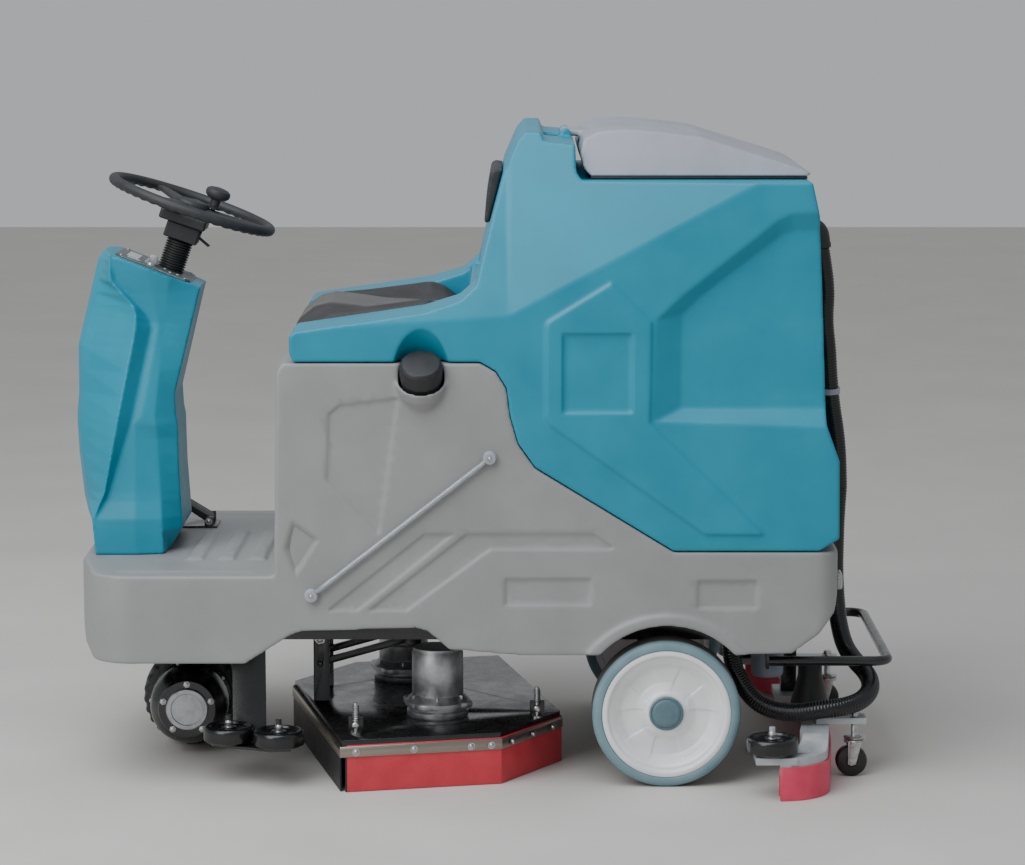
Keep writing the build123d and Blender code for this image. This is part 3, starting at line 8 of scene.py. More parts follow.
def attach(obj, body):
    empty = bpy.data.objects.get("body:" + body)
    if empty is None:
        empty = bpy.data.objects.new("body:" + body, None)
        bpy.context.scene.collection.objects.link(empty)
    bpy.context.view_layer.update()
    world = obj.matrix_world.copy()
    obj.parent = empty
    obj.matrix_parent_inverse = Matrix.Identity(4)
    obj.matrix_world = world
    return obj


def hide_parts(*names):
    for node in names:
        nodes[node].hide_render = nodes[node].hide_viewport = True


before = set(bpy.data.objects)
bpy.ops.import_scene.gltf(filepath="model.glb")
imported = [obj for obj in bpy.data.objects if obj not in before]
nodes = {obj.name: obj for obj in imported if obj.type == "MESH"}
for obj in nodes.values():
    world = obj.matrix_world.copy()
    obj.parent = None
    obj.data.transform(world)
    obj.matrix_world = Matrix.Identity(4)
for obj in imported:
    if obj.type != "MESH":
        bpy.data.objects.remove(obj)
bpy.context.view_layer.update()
scene = bpy.context.scene


# ------------------------------------------------------------------ materials
def shade(code):
    """An sRGB hex colour as linear red, green, blue and alpha."""
    values = [int(code[i:i + 2], 16) / 255 for i in (1, 3, 5)]
    return [v / 12.92 if v <= 0.04045 else ((v + 0.055) / 1.055) ** 2.4 for v in values] + [1.0]


def add(tree, kind, settings, *links):
    """A node with its settings, and links given as (output socket, input name or number)."""
    node = tree.nodes.new(kind)
    for key, value in settings.items():
        if isinstance(key, int) or key in node.inputs:
            node.inputs[key].default_value = value
        else:
            setattr(node, key, value)
    for source, target in links:
        tree.links.new(source, node.inputs[target])
    return node


def finish(name, light, dark, rough, blotch=60, grain=1.5, lift=0.15, stretch=(1, 1, 1),
           speckle=None, **shader):
    """A surface with cloudy colour from dark to light, uneven gloss and a fine relief. blotch and
    grain are real sizes in millimetres, lift is the relief's height in millimetres."""
    material = bpy.data.materials.new(name)
    material.use_nodes = True
    tree = material.node_tree
    body = tree.nodes["Principled BSDF"]
    for key, value in shader.items():
        body.inputs[key.replace("_", " ")].default_value = value
    place = add(tree, "ShaderNodeTexCoord", {})
    scaled = add(tree, "ShaderNodeMapping", {"Scale": stretch}, (place.outputs["Object"], "Vector"))
    cloud = add(tree, "ShaderNodeTexNoise", {"Scale": 1000 / blotch, "Detail": 4.0, "Roughness": 0.55},
                (scaled.outputs[0], "Vector"))
    fine = add(tree, "ShaderNodeTexNoise", {"Scale": 1000 / grain, "Detail": 3.0, "Roughness": 0.6},
               (scaled.outputs[0], "Vector"))
    spread = add(tree, "ShaderNodeMapRange", {"From Min": 0.3, "From Max": 0.7},
                 (cloud.outputs["Fac"], "Value"))
    colour = add(tree, "ShaderNodeMix", {"data_type": "RGBA", 6: shade(dark), 7: shade(light)},
                 (spread.outputs[0], 0))
    result = colour.outputs[2]
    if speckle:
        dots = add(tree, "ShaderNodeMapRange", {"From Min": 0.62, "From Max": 0.72},
                   (fine.outputs["Fac"], "Value"))
        mixed = add(tree, "ShaderNodeMix", {"data_type": "RGBA", 7: shade(speckle)},
                    (dots.outputs[0], 0), (result, 6))
        result = mixed.outputs[2]
    gloss = add(tree, "ShaderNodeMapRange", {"From Min": 0.3, "From Max": 0.7,
                                             "To Min": rough[0], "To Max": rough[1]},
                (cloud.outputs["Fac"], "Value"))
    relief = add(tree, "ShaderNodeBump", {"Strength": 1.0, "Distance": lift * 0.001},
                 (fine.outputs["Fac"], "Height"))
    tree.links.new(result, body.inputs["Base Color"])
    tree.links.new(gloss.outputs[0], body.inputs["Roughness"])
    tree.links.new(relief.outputs[0], body.inputs["Normal"])
    return material


def grained(name, light, dark, rough, cell, depth, **shader):
    """A moulded skin with a leather-like grain: cells of that size in millimetres, sunk between."""
    material = finish(name, light, dark, rough, **shader)
    tree = material.node_tree
    body = tree.nodes["Principled BSDF"]
    place = add(tree, "ShaderNodeTexCoord", {})
    cells = add(tree, "ShaderNodeTexVoronoi", {"Scale": 1000 / cell, "feature": "DISTANCE_TO_EDGE"},
                (place.outputs["Object"], "Vector"))
    round_off = add(tree, "ShaderNodeMapRange", {"From Max": 0.25, "interpolation_type": "SMOOTHSTEP"},
                    (cells.outputs["Distance"], "Value"))
    fine = body.inputs["Normal"].links[0].from_socket
    relief = add(tree, "ShaderNodeBump", {"Strength": 0.8, "Distance": depth * 0.001},
                 (round_off.outputs[0], "Height"), (fine, "Normal"))
    tree.links.new(relief.outputs[0], body.inputs["Normal"])
    return material


def paler_middle(material, colour, half):
    """Turns the surface towards a colour within that half width of the middle, in millimetres."""
    tree = material.node_tree
    body = tree.nodes["Principled BSDF"]
    place = add(tree, "ShaderNodeTexCoord", {})
    parts = add(tree, "ShaderNodeSeparateXYZ", {}, (place.outputs["Object"], 0))
    size = add(tree, "ShaderNodeMath", {"operation": "ABSOLUTE"}, (parts.outputs["X"], 0))
    share = add(tree, "ShaderNodeMapRange", {"From Min": (half + 8) * 0.001, "From Max": (half - 8) * 0.001},
                (size.outputs[0], "Value"))
    before = body.inputs["Base Color"].links[0].from_socket
    mixed = add(tree, "ShaderNodeMix", {"data_type": "RGBA", 7: shade(colour)}, (share.outputs[0], 0),
                (before, 6))
    tree.links.new(mixed.outputs[2], body.inputs["Base Color"])


# Rotomoulded polyethylene: even satin colour, a soft highlight, faint orange peel from the mould.
TEAL = finish("rotomoulded_pe_teal", "#178AA3", "#128098", (0.34, 0.44), blotch=140, grain=5,
              lift=0.10, IOR=1.51, Specular_IOR_Level=0.4)
GREY = finish("rotomoulded_pe_grey", "#8F908F", "#868785", (0.40, 0.52), blotch=120, grain=5,
              lift=0.12, IOR=1.51)
LID_GREY = finish("rotomoulded_pe_light_grey", "#9FA2AC", "#94979F", (0.40, 0.50), blotch=120,
                  grain=5, lift=0.10, IOR=1.51)
# Injection-moulded nylon and ABS: near-black, fine spark texture.
BLACK = finish("spark_textured_abs", "#262628", "#1E1E20", (0.42, 0.55), blotch=30, grain=1.6,
               lift=0.10, IOR=1.52)
WHEEL_SKIN = finish("soft_touch_pvc_wheel", "#2E2F31", "#242527", (0.50, 0.62), blotch=25, grain=1.4,
                    lift=0.12, IOR=1.52)
# Gloss black corrugated polypropylene hose: tight bright lines along every rib.
HOSE = finish("corrugated_pp_hose", "#161617", "#0E0E0F", (0.18, 0.30), blotch=20, grain=2, lift=0.05,
              IOR=1.5)
# Polyurethane integral skin: charcoal, leather grain, dull, with cloudy brighter patches and a paler middle.
SEAT_SKIN = grained("integral_skin_polyurethane", "#3C3A3A", "#302F2F", (0.52, 0.66), 3.2, 0.35,
                    blotch=70, grain=1.0, lift=0.05, IOR=1.48)
# The seat skin turns paler across its middle, within 118 mm each side.
paler_middle(SEAT_SKIN, "#605E5C", 118)
PAD_SKIN = grained("lumbar_pad_skin", "#2F2F30", "#232324", (0.42, 0.58), 3.0, 0.3, blotch=50,
                   grain=1.0, lift=0.05, IOR=1.5)
RUBBER = finish("moulded_black_rubber", "#252525", "#1B1B1B", (0.45, 0.60), blotch=20, grain=1.5,
                lift=0.12, IOR=1.52)
GLOSS_RUBBER = finish("polished_black_nylon", "#19191A", "#111112", (0.16, 0.30), blotch=22, grain=2.0,
                      lift=0.05, IOR=1.53)
RED_RUBBER = finish("red_polyurethane_sheet", "#CC3A46", "#BC2F3B", (0.42, 0.55), blotch=45, grain=2.0,
                    lift=0.10, speckle="#D2545E", IOR=1.5)
PINK_RUBBER = finish("red_linatex_blade", "#D8455F", "#C93853", (0.42, 0.56), blotch=35, grain=2.0,
                     lift=0.08, IOR=1.5)
TYRE_GREY = finish("non_marking_rubber", "#789399", "#69868E", (0.46, 0.60), blotch=40, grain=2.2,
                   lift=0.15, speckle="#7C9FA4", IOR=1.5)
TREAD = finish("dusty_tread_rubber", "#5D5A50", "#454843", (0.70, 0.85), blotch=28, grain=2.5,
               lift=0.35, speckle="#77705F", IOR=1.5)
HUB_CAP = finish("moulded_cap_slate", "#5E7880", "#526B73", (0.40, 0.52), blotch=18, grain=1.5,
                 lift=0.08, IOR=1.5)
# Lacquered cast rim: cool silver white, fine metallic sparkle under a clear coat.
RIM = finish("silver_lacquered_casting", "#EDEDEC", "#E2E2E3", (0.34, 0.46), blotch=60, grain=1.2,
             lift=0.08, speckle="#F4F4F4", Metallic=0.05, Coat_Weight=0.4, Coat_Roughness=0.2)
CAST = finish("painted_aluminium_casting", "#B4B8BA", "#A5A9AC", (0.38, 0.52), blotch=25, grain=2.2,
              lift=0.25, Metallic=0.3, Coat_Weight=0.25, Coat_Roughness=0.25)
# Powder coat on folded steel: deep black, semi-gloss, pimpled at about a millimetre.
COAT = finish("black_powder_coat", "#161617", "#101011", (0.20, 0.34), blotch=35, grain=1.8,
              lift=0.10, IOR=1.55, Coat_Weight=0.3, Coat_Roughness=0.15)
ZINC = finish("zinc_plated_steel", "#C9CBCD", "#A8A7A2", (0.24, 0.40), blotch=9, grain=1.2, lift=0.04,
              Metallic=1.0)
STEEL = finish("brushed_stainless_strip", "#A39B91", "#8C847A", (0.28, 0.42), blotch=24, grain=0.8,
               lift=0.05, stretch=(0.06, 0.06, 1.0), Metallic=1.0)
ALU = finish("sand_cast_aluminium", "#C3C4C6", "#A4A5A7", (0.34, 0.50), blotch=14, grain=1.8,
             lift=0.22, Metallic=0.9)
PLATE = finish("textured_overlay_film", "#5B6064", "#4E5357", (0.38, 0.50), blotch=35, grain=1.2,
               lift=0.06, IOR=1.49)
SCREEN = finish("display_window", "#B9C0C2", "#AAB1B4", (0.12, 0.20), blotch=30, grain=3, lift=0.01,
                IOR=1.49, Coat_Weight=0.6, Coat_Roughness=0.05)
RED_PLASTIC = finish("red_acetal", "#B4232A", "#9E1C22", (0.25, 0.36), blotch=20, grain=1.5, lift=0.05,
                     IOR=1.48)
BRISTLE = finish("white_nylon_bristle", "#DAD8D0", "#BEBBB1", (0.45, 0.6), blotch=14, grain=1.5,
                 lift=0.1, IOR=1.53)
BATTERY = finish("battery_case_pp", "#3A3B3D", "#2E2F31", (0.4, 0.55), blotch=60, grain=2, lift=0.1)
CLEAR = finish("clear_pvc_tube", "#E9EEF0", "#DDE4E8", (0.06, 0.14), blotch=30, grain=3, lift=0.02,
               IOR=1.53, Transmission_Weight=0.75)
LENS = finish("ribbed_lamp_lens", "#D9DCDD", "#C9CCCE", (0.08, 0.15), blotch=12, grain=2, lift=0.15,
              IOR=1.49, Transmission_Weight=0.45)
DRAIN_GREY = finish("moulded_drain_outlet_pp", "#8B94A0", "#7D8793", (0.38, 0.5), blotch=25, grain=1.6,
                    lift=0.1, IOR=1.49)


# ------------------------------------------------------------------ mesh helpers
def mesh_piece(name, vertices, faces):
    """A new object with that mesh."""
    mesh = bpy.data.meshes.new(name)
    mesh.from_pydata([tuple(v) for v in vertices], [], faces)
    piece = bpy.data.objects.new(name, mesh)
    scene.collection.objects.link(piece)
    return piece


def outward(piece, merge=1e-6):
    """Merges doubles and turns every face outwards."""
    work = bmesh.new()
    work.from_mesh(piece.data)
    bmesh.ops.remove_doubles(work, verts=work.verts, dist=merge)
    bmesh.ops.recalc_face_normals(work, faces=work.faces)
    work.to_mesh(piece.data)
    work.free()
    return piece


def made_plain(piece):
    """Applies the piece's modifiers and leaves a plain mesh."""
    bpy.context.view_layer.update()
    graph = bpy.context.evaluated_depsgraph_get()
    mesh = bpy.data.meshes.new_from_object(piece.evaluated_get(graph))
    piece.modifiers.clear()
    piece.data = mesh
    return piece


def softened(piece, angle=35):
    """Smooth shading with sharp edges past that angle."""
    piece.data.shade_smooth()
    piece.data.set_sharp_from_angle(angle=radians(angle))
    return piece


def wear(piece, body, slot, material, *replaced):
    """Gives a finished piece its material and body, and hides what it stands for; slot is not used."""
    piece.data.materials.clear()
    piece.data.materials.append(material)
    if replaced:
        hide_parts(*replaced)
    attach(piece, body)
    return piece


def copy_of(node, name):
    """A merged copy of a CAD node's mesh, with flat faces joined up."""
    piece = bpy.data.objects.new(name, nodes[node].data.copy())
    scene.collection.objects.link(piece)
    work = bmesh.new()
    work.from_mesh(piece.data)
    bmesh.ops.remove_doubles(work, verts=work.verts, dist=2e-5)
    bmesh.ops.dissolve_limit(work, angle_limit=radians(0.8), verts=work.verts, edges=work.edges)
    work.to_mesh(piece.data)
    work.free()
    return piece


def eased(node, body, slot, material, width=1.5, segments=2, angle=35):
    """A CAD node with its sharp edges rounded over, in place of the plain one."""
    piece = copy_of(node, node + "_eased")
    bevel = piece.modifiers.new("edge", "BEVEL")
    bevel.width = width * 0.001
    bevel.segments = segments
    bevel.limit_method = "ANGLE"
    bevel.angle_limit = radians(angle)
    bevel.use_clamp_overlap = True
    bevel.harden_normals = False
    made_plain(piece)
    softened(piece, 40)
    return wear(piece, body, slot, material, node)


def remeshed(piece, voxel, passes):
    """Voxel remesh and smoothing, which round a moulded wall's corners."""
    solid = piece.modifiers.new("voxels", "REMESH")
    solid.mode = "VOXEL"
    solid.voxel_size = voxel * 0.001
    made_plain(piece)
    soften = piece.modifiers.new("soften", "SMOOTH")
    soften.factor = 0.5
    soften.iterations = passes
    return made_plain(piece)


def thinned(piece, most):
    """Collapses the mesh to at most that many triangles."""
    count = sum(len(p.vertices) - 2 for p in piece.data.polygons)
    if count > most:
        less = piece.modifiers.new("fewer", "DECIMATE")
        less.ratio = most / count
        made_plain(piece)
    piece.data.shade_smooth()
    return piece


def moulded(node, voxel, passes):
    """A CAD node's copy, softened as a moulding."""
    piece = bpy.data.objects.new(node + "_moulding", nodes[node].data.copy())
    scene.collection.objects.link(piece)
    outward(piece, 2e-5)
    return remeshed(piece, voxel * (1.0), passes)


def along(table, z):
    """The value at height z in a list of (height, value), in falling height."""
    for (z0, v0), (z1, v1) in zip(table, table[1:]):
        if z0 >= z >= z1:
            return v0 + (v1 - v0) * (z0 - z) / (z0 - z1)
    return table[0][1] if z > table[0][0] else table[-1][1]


def turned(name, profile, origin, axis, steps=48):
    """A round piece from (height along the axis, radius) points, in millimetres."""
    z = Vector(axis).normalized()
    x = z.orthogonal().normalized()
    y = z.cross(x)
    base = Vector(origin) * 0.001
    vertices = []
    faces = []
    for height, radius in profile:
        for i in range(steps):
            a = 2 * pi * i / steps
            vertices.append(base + (z * height + (x * cos(a) + y * sin(a)) * radius) * 0.001)
    for row in range(len(profile) - 1):
        for i in range(steps):
            j = (i + 1) % steps
            a, b = row * steps, (row + 1) * steps
            faces.append((a + i, a + j, b + j, b + i))
    faces.append(tuple(range(steps))[::-1])
    last = (len(profile) - 1) * steps
    faces.append(tuple(last + i for i in range(steps)))
    piece = outward(mesh_piece(name, vertices, faces), 1e-5)
    return softened(piece, 38)


def swept(name, points, radius, steps=20, rings=None):
    """A tube along points in metres; rings gives a radius factor for each point."""
    path = [Vector(p) for p in points]
    vertices = []
    faces = []
    ahead = (path[1] - path[0]).normalized()
    side = ahead.orthogonal().normalized()
    for i, here in enumerate(path):
        step = path[min(i + 1, len(path) - 1)] - path[max(i - 1, 0)]
        ahead = step.normalized()
        side = (side - ahead * side.dot(ahead)).normalized()
        up = ahead.cross(side)
        r = radius * (rings[i] if rings else 1.0)
        for k in range(steps):
            a = 2 * pi * k / steps
            vertices.append(here + (side * cos(a) + up * sin(a)) * r)
    for i in range(len(path) - 1):
        for k in range(steps):
            j = (k + 1) % steps
            a, b = i * steps, (i + 1) * steps
            faces.append((a + k, a + j, b + j, b + k))
    faces.append(tuple(range(steps))[::-1])
    faces.append(tuple((len(path) - 1) * steps + k for k in range(steps)))
    return outward(mesh_piece(name, vertices, faces), 1e-7)


def slab(name, outline, low, high, frame_matrix=None, bevel=0.0):
    """A flat plate: an outline of (x, y) in millimetres between two heights, in a frame."""
    place = frame_matrix or Matrix.Identity(4)
    count = len(outline)
    vertices = [place @ Vector((x * 0.001, y * 0.001, z * 0.001)) for z in (low, high)
                for x, y in outline]
    faces = [tuple(range(count))[::-1], tuple(range(count, 2 * count))]
    faces += [(i, (i + 1) % count, count + (i + 1) % count, count + i) for i in range(count)]
    piece = outward(mesh_piece(name, vertices, faces))
    if bevel:
        edge = piece.modifiers.new("edge", "BEVEL")
        edge.width = bevel * 0.001
        edge.segments = 3
        edge.limit_method = "ANGLE"
        made_plain(piece)
    return softened(piece, 40)


def rounded(x0, x1, y0, y1, r, steps=5):
    """A rounded rectangle's outline."""
    points = []
    for cx, cy, start in ((x1 - r, y1 - r, 0), (x0 + r, y1 - r, 90), (x0 + r, y0 + r, 180),
                          (x1 - r, y0 + r, 270)):
        for i in range(steps + 1):
            a = radians(start + 90 * i / steps)
            points.append((cx + r * cos(a), cy + r * sin(a)))
    return points


def joined(name, *pieces):
    """Several meshes as one piece."""
    work = bmesh.new()
    for piece in pieces:
        work.from_mesh(piece.data)
        bpy.data.objects.remove(piece)
    mesh = bpy.data.meshes.new(name)
    work.to_mesh(mesh)
    work.free()
    result = bpy.data.objects.new(name, mesh)
    scene.collection.objects.link(result)
    return result


# ------------------------------------------------------------------ repeated parts
def placing_tree():
    """Geometry Nodes: one part on every point, along the point's aim, with a seeded size change."""
    tree = bpy.data.node_groups.new("placed_parts", "GeometryNodeTree")
    face = tree.interface
    face.new_socket("Geometry", in_out="INPUT", socket_type="NodeSocketGeometry")
    face.new_socket("Part", in_out="INPUT", socket_type="NodeSocketObject")
    face.new_socket("Size", in_out="INPUT", socket_type="NodeSocketFloat").default_value = 1.0
    face.new_socket("Size Change", in_out="INPUT", socket_type="NodeSocketFloat").default_value = 0.0
    face.new_socket("Lean", in_out="INPUT", socket_type="NodeSocketFloat").default_value = 0.0
    face.new_socket("Seed", in_out="INPUT", socket_type="NodeSocketInt").default_value = 7
    face.new_socket("Finish", in_out="INPUT", socket_type="NodeSocketMaterial")
    face.new_socket("Geometry", in_out="OUTPUT", socket_type="NodeSocketGeometry")
    start = add(tree, "NodeGroupInput", {})
    part = add(tree, "GeometryNodeObjectInfo", {}, (start.outputs["Part"], "Object"))
    aim = add(tree, "GeometryNodeInputNamedAttribute", {"data_type": "FLOAT_VECTOR", "Name": "aim"})
    turn = add(tree, "FunctionNodeAlignRotationToVector", {"axis": "Z"},
               (aim.outputs["Attribute"], "Vector"))
    low = add(tree, "ShaderNodeMath", {"operation": "SUBTRACT", 0: 1.0}, (start.outputs["Size Change"], 1))
    high = add(tree, "ShaderNodeMath", {"operation": "ADD", 0: 1.0}, (start.outputs["Size Change"], 1))
    change = add(tree, "FunctionNodeRandomValue", {"data_type": "FLOAT"}, (low.outputs[0], 2),
                 (high.outputs[0], 3), (start.outputs["Seed"], "Seed"))
    size = add(tree, "ShaderNodeMath", {"operation": "MULTIPLY"}, (change.outputs[1], 0),
               (start.outputs["Size"], 1))
    less = add(tree, "ShaderNodeMath", {"operation": "MULTIPLY", 1: -1.0}, (start.outputs["Lean"], 0))
    sway = add(tree, "FunctionNodeRandomValue", {"data_type": "FLOAT_VECTOR"}, (less.outputs[0], 0),
               (start.outputs["Lean"], 1), (start.outputs["Seed"], "Seed"))
    put = add(tree, "GeometryNodeInstanceOnPoints", {}, (start.outputs["Geometry"], "Points"),
              (part.outputs["Geometry"], "Instance"), (turn.outputs[0], "Rotation"),
              (size.outputs[0], "Scale"))
    tilt = add(tree, "GeometryNodeRotateInstances", {}, (put.outputs[0], "Instances"),
               (sway.outputs[0], "Rotation"))
    real = add(tree, "GeometryNodeRealizeInstances", {}, (tilt.outputs[0], 0))
    coat = add(tree, "GeometryNodeSetMaterial", {}, (real.outputs[0], "Geometry"),
               (start.outputs["Finish"], "Material"))
    add(tree, "NodeGroupOutput", {}, (coat.outputs[0], 0))
    return tree


PLACING = placing_tree()


def placed(name, part, spots, finish_used, size=1.0, change=0.0, lean=0.0):
    """The part's copies at spots, each (place, aim) in metres, as one plain mesh."""
    piece = mesh_piece(name, [place for place, aim in spots], [])
    aims = piece.data.attributes.new("aim", "FLOAT_VECTOR", "POINT")
    for i, (place, aim) in enumerate(spots):
        aims.data[i].vector = Vector(aim).normalized()
    repeat = piece.modifiers.new("placed", "NODES")
    repeat.node_group = PLACING
    values = {"Part": part, "Size": size, "Size Change": change, "Lean": lean, "Seed": 7,
              "Finish": finish_used}
    for item in PLACING.interface.items_tree:
        if item.item_type == "SOCKET" and item.in_out == "INPUT" and item.name in values:
            repeat[item.identifier] = values[item.name]
    made_plain(piece)
    return softened(piece, 38)


def part_only(piece):
    """A piece used only as the pattern for repeated ones."""
    scene.collection.objects.unlink(piece)
    return piece


HEX_BOLT = part_only(turned("hex_bolt_part", [(-1, 3.4), (0, 9.5), (1.4, 9.5), (1.5, 6.8), (5.6, 6.8),
                                              (6.2, 5.9)],
                            (0, 0, 0), (0, 0, 1), 6))
DOME_BOLT = part_only(turned("dome_bolt_part", [(-1, 5), (0, 8.6), (1.2, 8.6), (1.3, 5.6), (3.2, 5.2),
                                                (4.6, 3.8), (5.3, 1.8), (5.4, 0)],
                             (0, 0, 0), (0, 0, 1), 20))
SCREW = part_only(turned("pan_screw_part", [(-0.6, 2.2), (0, 3.6), (0.9, 3.4), (1.7, 2.4), (1.9, 0)],
                         (0, 0, 0), (0, 0, 1), 14))
TUFT = part_only(turned("bristle_tuft_part", [(0, 2.0), (20, 2.2), (40, 2.7), (50, 3.1)], (0, 0, 0),
                        (0, 0, 1), 5))


def spots(*places, aim=(1, 0, 0)):
    """Places in millimetres with one common aim."""
    return [(Vector(p) * 0.001, aim) for p in places]


# ------------------------------------------------------------------ camera, light and floor
eye = bpy.data.cameras.new("eye")
eye.lens = 117.7
eye.sensor_width = 36.0
eye.clip_end = 60.0
eye_object = bpy.data.objects.new("eye", eye)
eye_object.location = (7.0, 0.067, 1.65)
eye_object.rotation_euler = (radians(90 - 8), 0, radians(90))
scene.collection.objects.link(eye_object)
scene.camera = eye_object


def lamp(name, place, target, size, power, colour):
    """A large soft area light aimed at a point."""
    light = bpy.data.lights.new(name, "AREA")
    light.shape = "RECTANGLE"
    light.size, light.size_y = size
    light.energy = power
    light.color = shade(colour)[:3]
    holder = bpy.data.objects.new(name, light)
    holder.location = place
    holder.rotation_euler = (Vector(target) - Vector(place)).to_track_quat("-Z", "Y").to_euler()
    scene.collection.objects.link(holder)


lamp("sky_panel", (2.2, -1.6, 4.6), (0, 0, 0.5), (4.4, 4.4), 250, "#F4F8FF")
lamp("side_panel", (4.6, -3.6, 2.8), (0, 0, 0.6), (2.6, 2.4), 95, "#FFFFFF")
world = bpy.data.worlds.new("studio")
scene.world = world
world.use_nodes = True
world.node_tree.nodes["Background"].inputs["Color"].default_value = shade("#E9ECF0")
world.node_tree.nodes["Background"].inputs["Strength"].default_value = 0.56

FLOOR = finish("pale_sealed_floor", "#CFCCC6", "#C6C3BD", (0.55, 0.7), blotch=500, grain=6, lift=0.1)
floor = mesh_piece("studio_floor", [(-14, -14, 0), (14, -14, 0), (14, 14, 0), (-14, 14, 0)], [(0, 1, 2, 3)])
floor.data.materials.append(FLOOR)

# ------------------------------------------------------------------ hoses
UPPER_ROUTE = [(-20, 712, 1064), (-22, 720, 1020), (-30, 728, 962), (-26, 724, 902), (-20, 731, 842),
               (-28, 735, 782), (-34, 742, 722), (-30, 752, 662), (-24, 757, 602), (-22, 758, 545)]
LOWER_ROUTE = [(-22, 758, 545), (-20, 754, 488), (-10, 752, 432), (4, 750, 376), (14, 752, 322),
               (34, 756, 268), (68, 766, 222), (118, 784, 200), (172, 800, 190), (224, 806, 180),
               (272, 800, 168), (312, 776, 156), (334, 736, 149), (338, 690, 145), (330, 644, 136),
               (316, 600, 138), (302, 562, 154), (288, 534, 190), (280, 514, 232), (280, 514, 279.5)]
HOSE_R = 0.019


def route_line(name, route):
    """Points along the smooth line that a route controls, in metres."""
    curve = bpy.data.curves.new(name, "CURVE")
    curve.dimensions = "3D"
    curve.resolution_u = 24
    spline = curve.splines.new("NURBS")
    spline.points.add(len(route) - 1)
    for point, (x, y, z) in zip(spline.points, route):
        point.co = (x * 0.001, y * 0.001, z * 0.001, 1)
    spline.order_u = 3
    spline.use_endpoint_u = True
    holder = bpy.data.objects.new(name, curve)
    scene.collection.objects.link(holder)
    bpy.context.view_layer.update()
    mesh = bpy.data.meshes.new_from_object(holder.evaluated_get(bpy.context.evaluated_depsgraph_get()))
    points = [v.co.copy() for v in mesh.vertices]
    bpy.data.objects.remove(holder)
    return points


def evenly(points, step):
    """Points a fixed step apart along a line."""
    total = [0.0]
    for a, b in zip(points, points[1:]):
        total.append(total[-1] + (b - a).length)
    count = max(2, round(total[-1] / step))
    result = []
    seg = 0
    for i in range(count + 1):
        want = total[-1] * i / count
        while seg < len(points) - 2 and total[seg + 1] < want:
            seg += 1
        share = (want - total[seg]) / max(1e-9, total[seg + 1] - total[seg])
        result.append(points[seg].lerp(points[seg + 1], share))
    return result, total[-1]


def corrugated(name, node, body, route):
    """A ribbed hose: a rib each 6 mm, round-topped, with a narrower valley."""
    line = route_line(name + "_line", route)
    fine, length = evenly(line, 0.0012)
    rings = [0.93 + 0.07 * (0.5 + 0.5 * cos(2 * pi * i / 5)) ** 0.6 for i in range(len(fine))]
    tube = swept(name, fine, HOSE_R, 22, rings)
    tube.data.shade_smooth()
    wear(tube, body, "hose_plastic", HOSE, node)
    print(name, "length", round(length, 4))
    return tube, line, length


upper_hose, upper_line, upper_length = corrugated("suction_hose", "hose_upper", "tank", UPPER_ROUTE)
lower_hose, lower_line, lower_length = corrugated("squeegee_hose", "hose_lower", "chassis", LOWER_ROUTE)
CUFF_ROUTE = [(-20, 670, 1098), (-20, 696, 1098), (-20, 708, 1090), (-20, 712, 1074), (-20.5, 713, 1056)]
cuff_line, cuff_length = evenly(route_line("cuff_line", CUFF_ROUTE), 0.003)
cuff = swept("suction_hose_cuff", cuff_line, 0.0215, 28,
             [1.12] * 4 + [1.0] * (len(cuff_line) - 8) + [1.06] * 4)
softened(cuff, 40)
wear(cuff, "tank", "black_rubber", RUBBER)


# ------------------------------------------------------------------ tanks
def smooth_step(value, low, high):
    """0 below low, 1 above high, smooth between."""
    t = np.clip((value - low) / (high - low), 0, 1)
    return t * t * (3 - 2 * t)


def inside_distance(points, outline):
    """Signed distance of points to a closed outline, positive inside, in the outline's units."""
    px, py = points[:, 0], points[:, 1]
    best = np.full(len(px), 1e9)
    inside = np.zeros(len(px), bool)
    for (ax, ay), (bx, by) in zip(outline, outline[1:] + outline[:1]):
        ex, ey = bx - ax, by - ay
        t = np.clip(((px - ax) * ex + (py - ay) * ey) / (ex * ex + ey * ey), 0, 1)
        best = np.minimum(best, np.hypot(px - ax - t * ex, py - ay - t * ey))
        if ay != by:
            crosses = ((ay > py) != (by > py)) & (px < (bx - ax) * (py - ay) / (by - ay) + ax)
            inside ^= crosses
    return np.where(inside, best, -best)


def embossed(piece, outlines, axis, facing, push, low=-2.0, high=2.0):
    """Moves the faces that look along an axis in or out within outlines, in millimetres, with a wall
    from low to high inside the outline. Outlines on the sides are (y, z), on top (x, y)."""
    mesh = piece.data
    count = len(mesh.vertices)
    co = np.empty(count * 3)
    mesh.vertices.foreach_get("co", co)
    co = co.reshape(-1, 3)
    normals = np.empty(count * 3)
    mesh.vertices.foreach_get("normal", normals)
    normals = normals.reshape(-1, 3)
    flat = [i for i in range(3) if i != axis]
    place = co[:, flat] * 1000
    for outline in outlines:
        depth = inside_distance(place, outline)
        share = smooth_step(depth, low, high)
        co += (share * facing(co * 1000, normals) * push * 0.001)[:, None] * normals
    mesh.vertices.foreach_set("co", co.ravel())
    mesh.update()


def on_sides(co, normals):
    return (np.abs(co[:, 0]) > 385) & (np.abs(normals[:, 0]) > 0.75) & (co[:, 0] * normals[:, 0] > 0)


def on_footwell(co, normals):
    return (np.abs(co[:, 2] - 433) < 6) & (normals[:, 2] > 0.7) & (co[:, 1] < -395)


def without_recesses(node, name):
    """The node's copy with the shallow fields in its flanks filled, ready for softer ones."""
    piece = bpy.data.objects.new(name, nodes[node].data.copy())
    scene.collection.objects.link(piece)
    for vertex in piece.data.vertices:
        x, y, z = vertex.co
        if 0.4055 < abs(x) < 0.4095 and -0.32 < y < 0.57 and 0.35 < z < 0.53:
            vertex.co.x = 0.41 if x > 0 else -0.41
    return outward(piece, 2e-5)


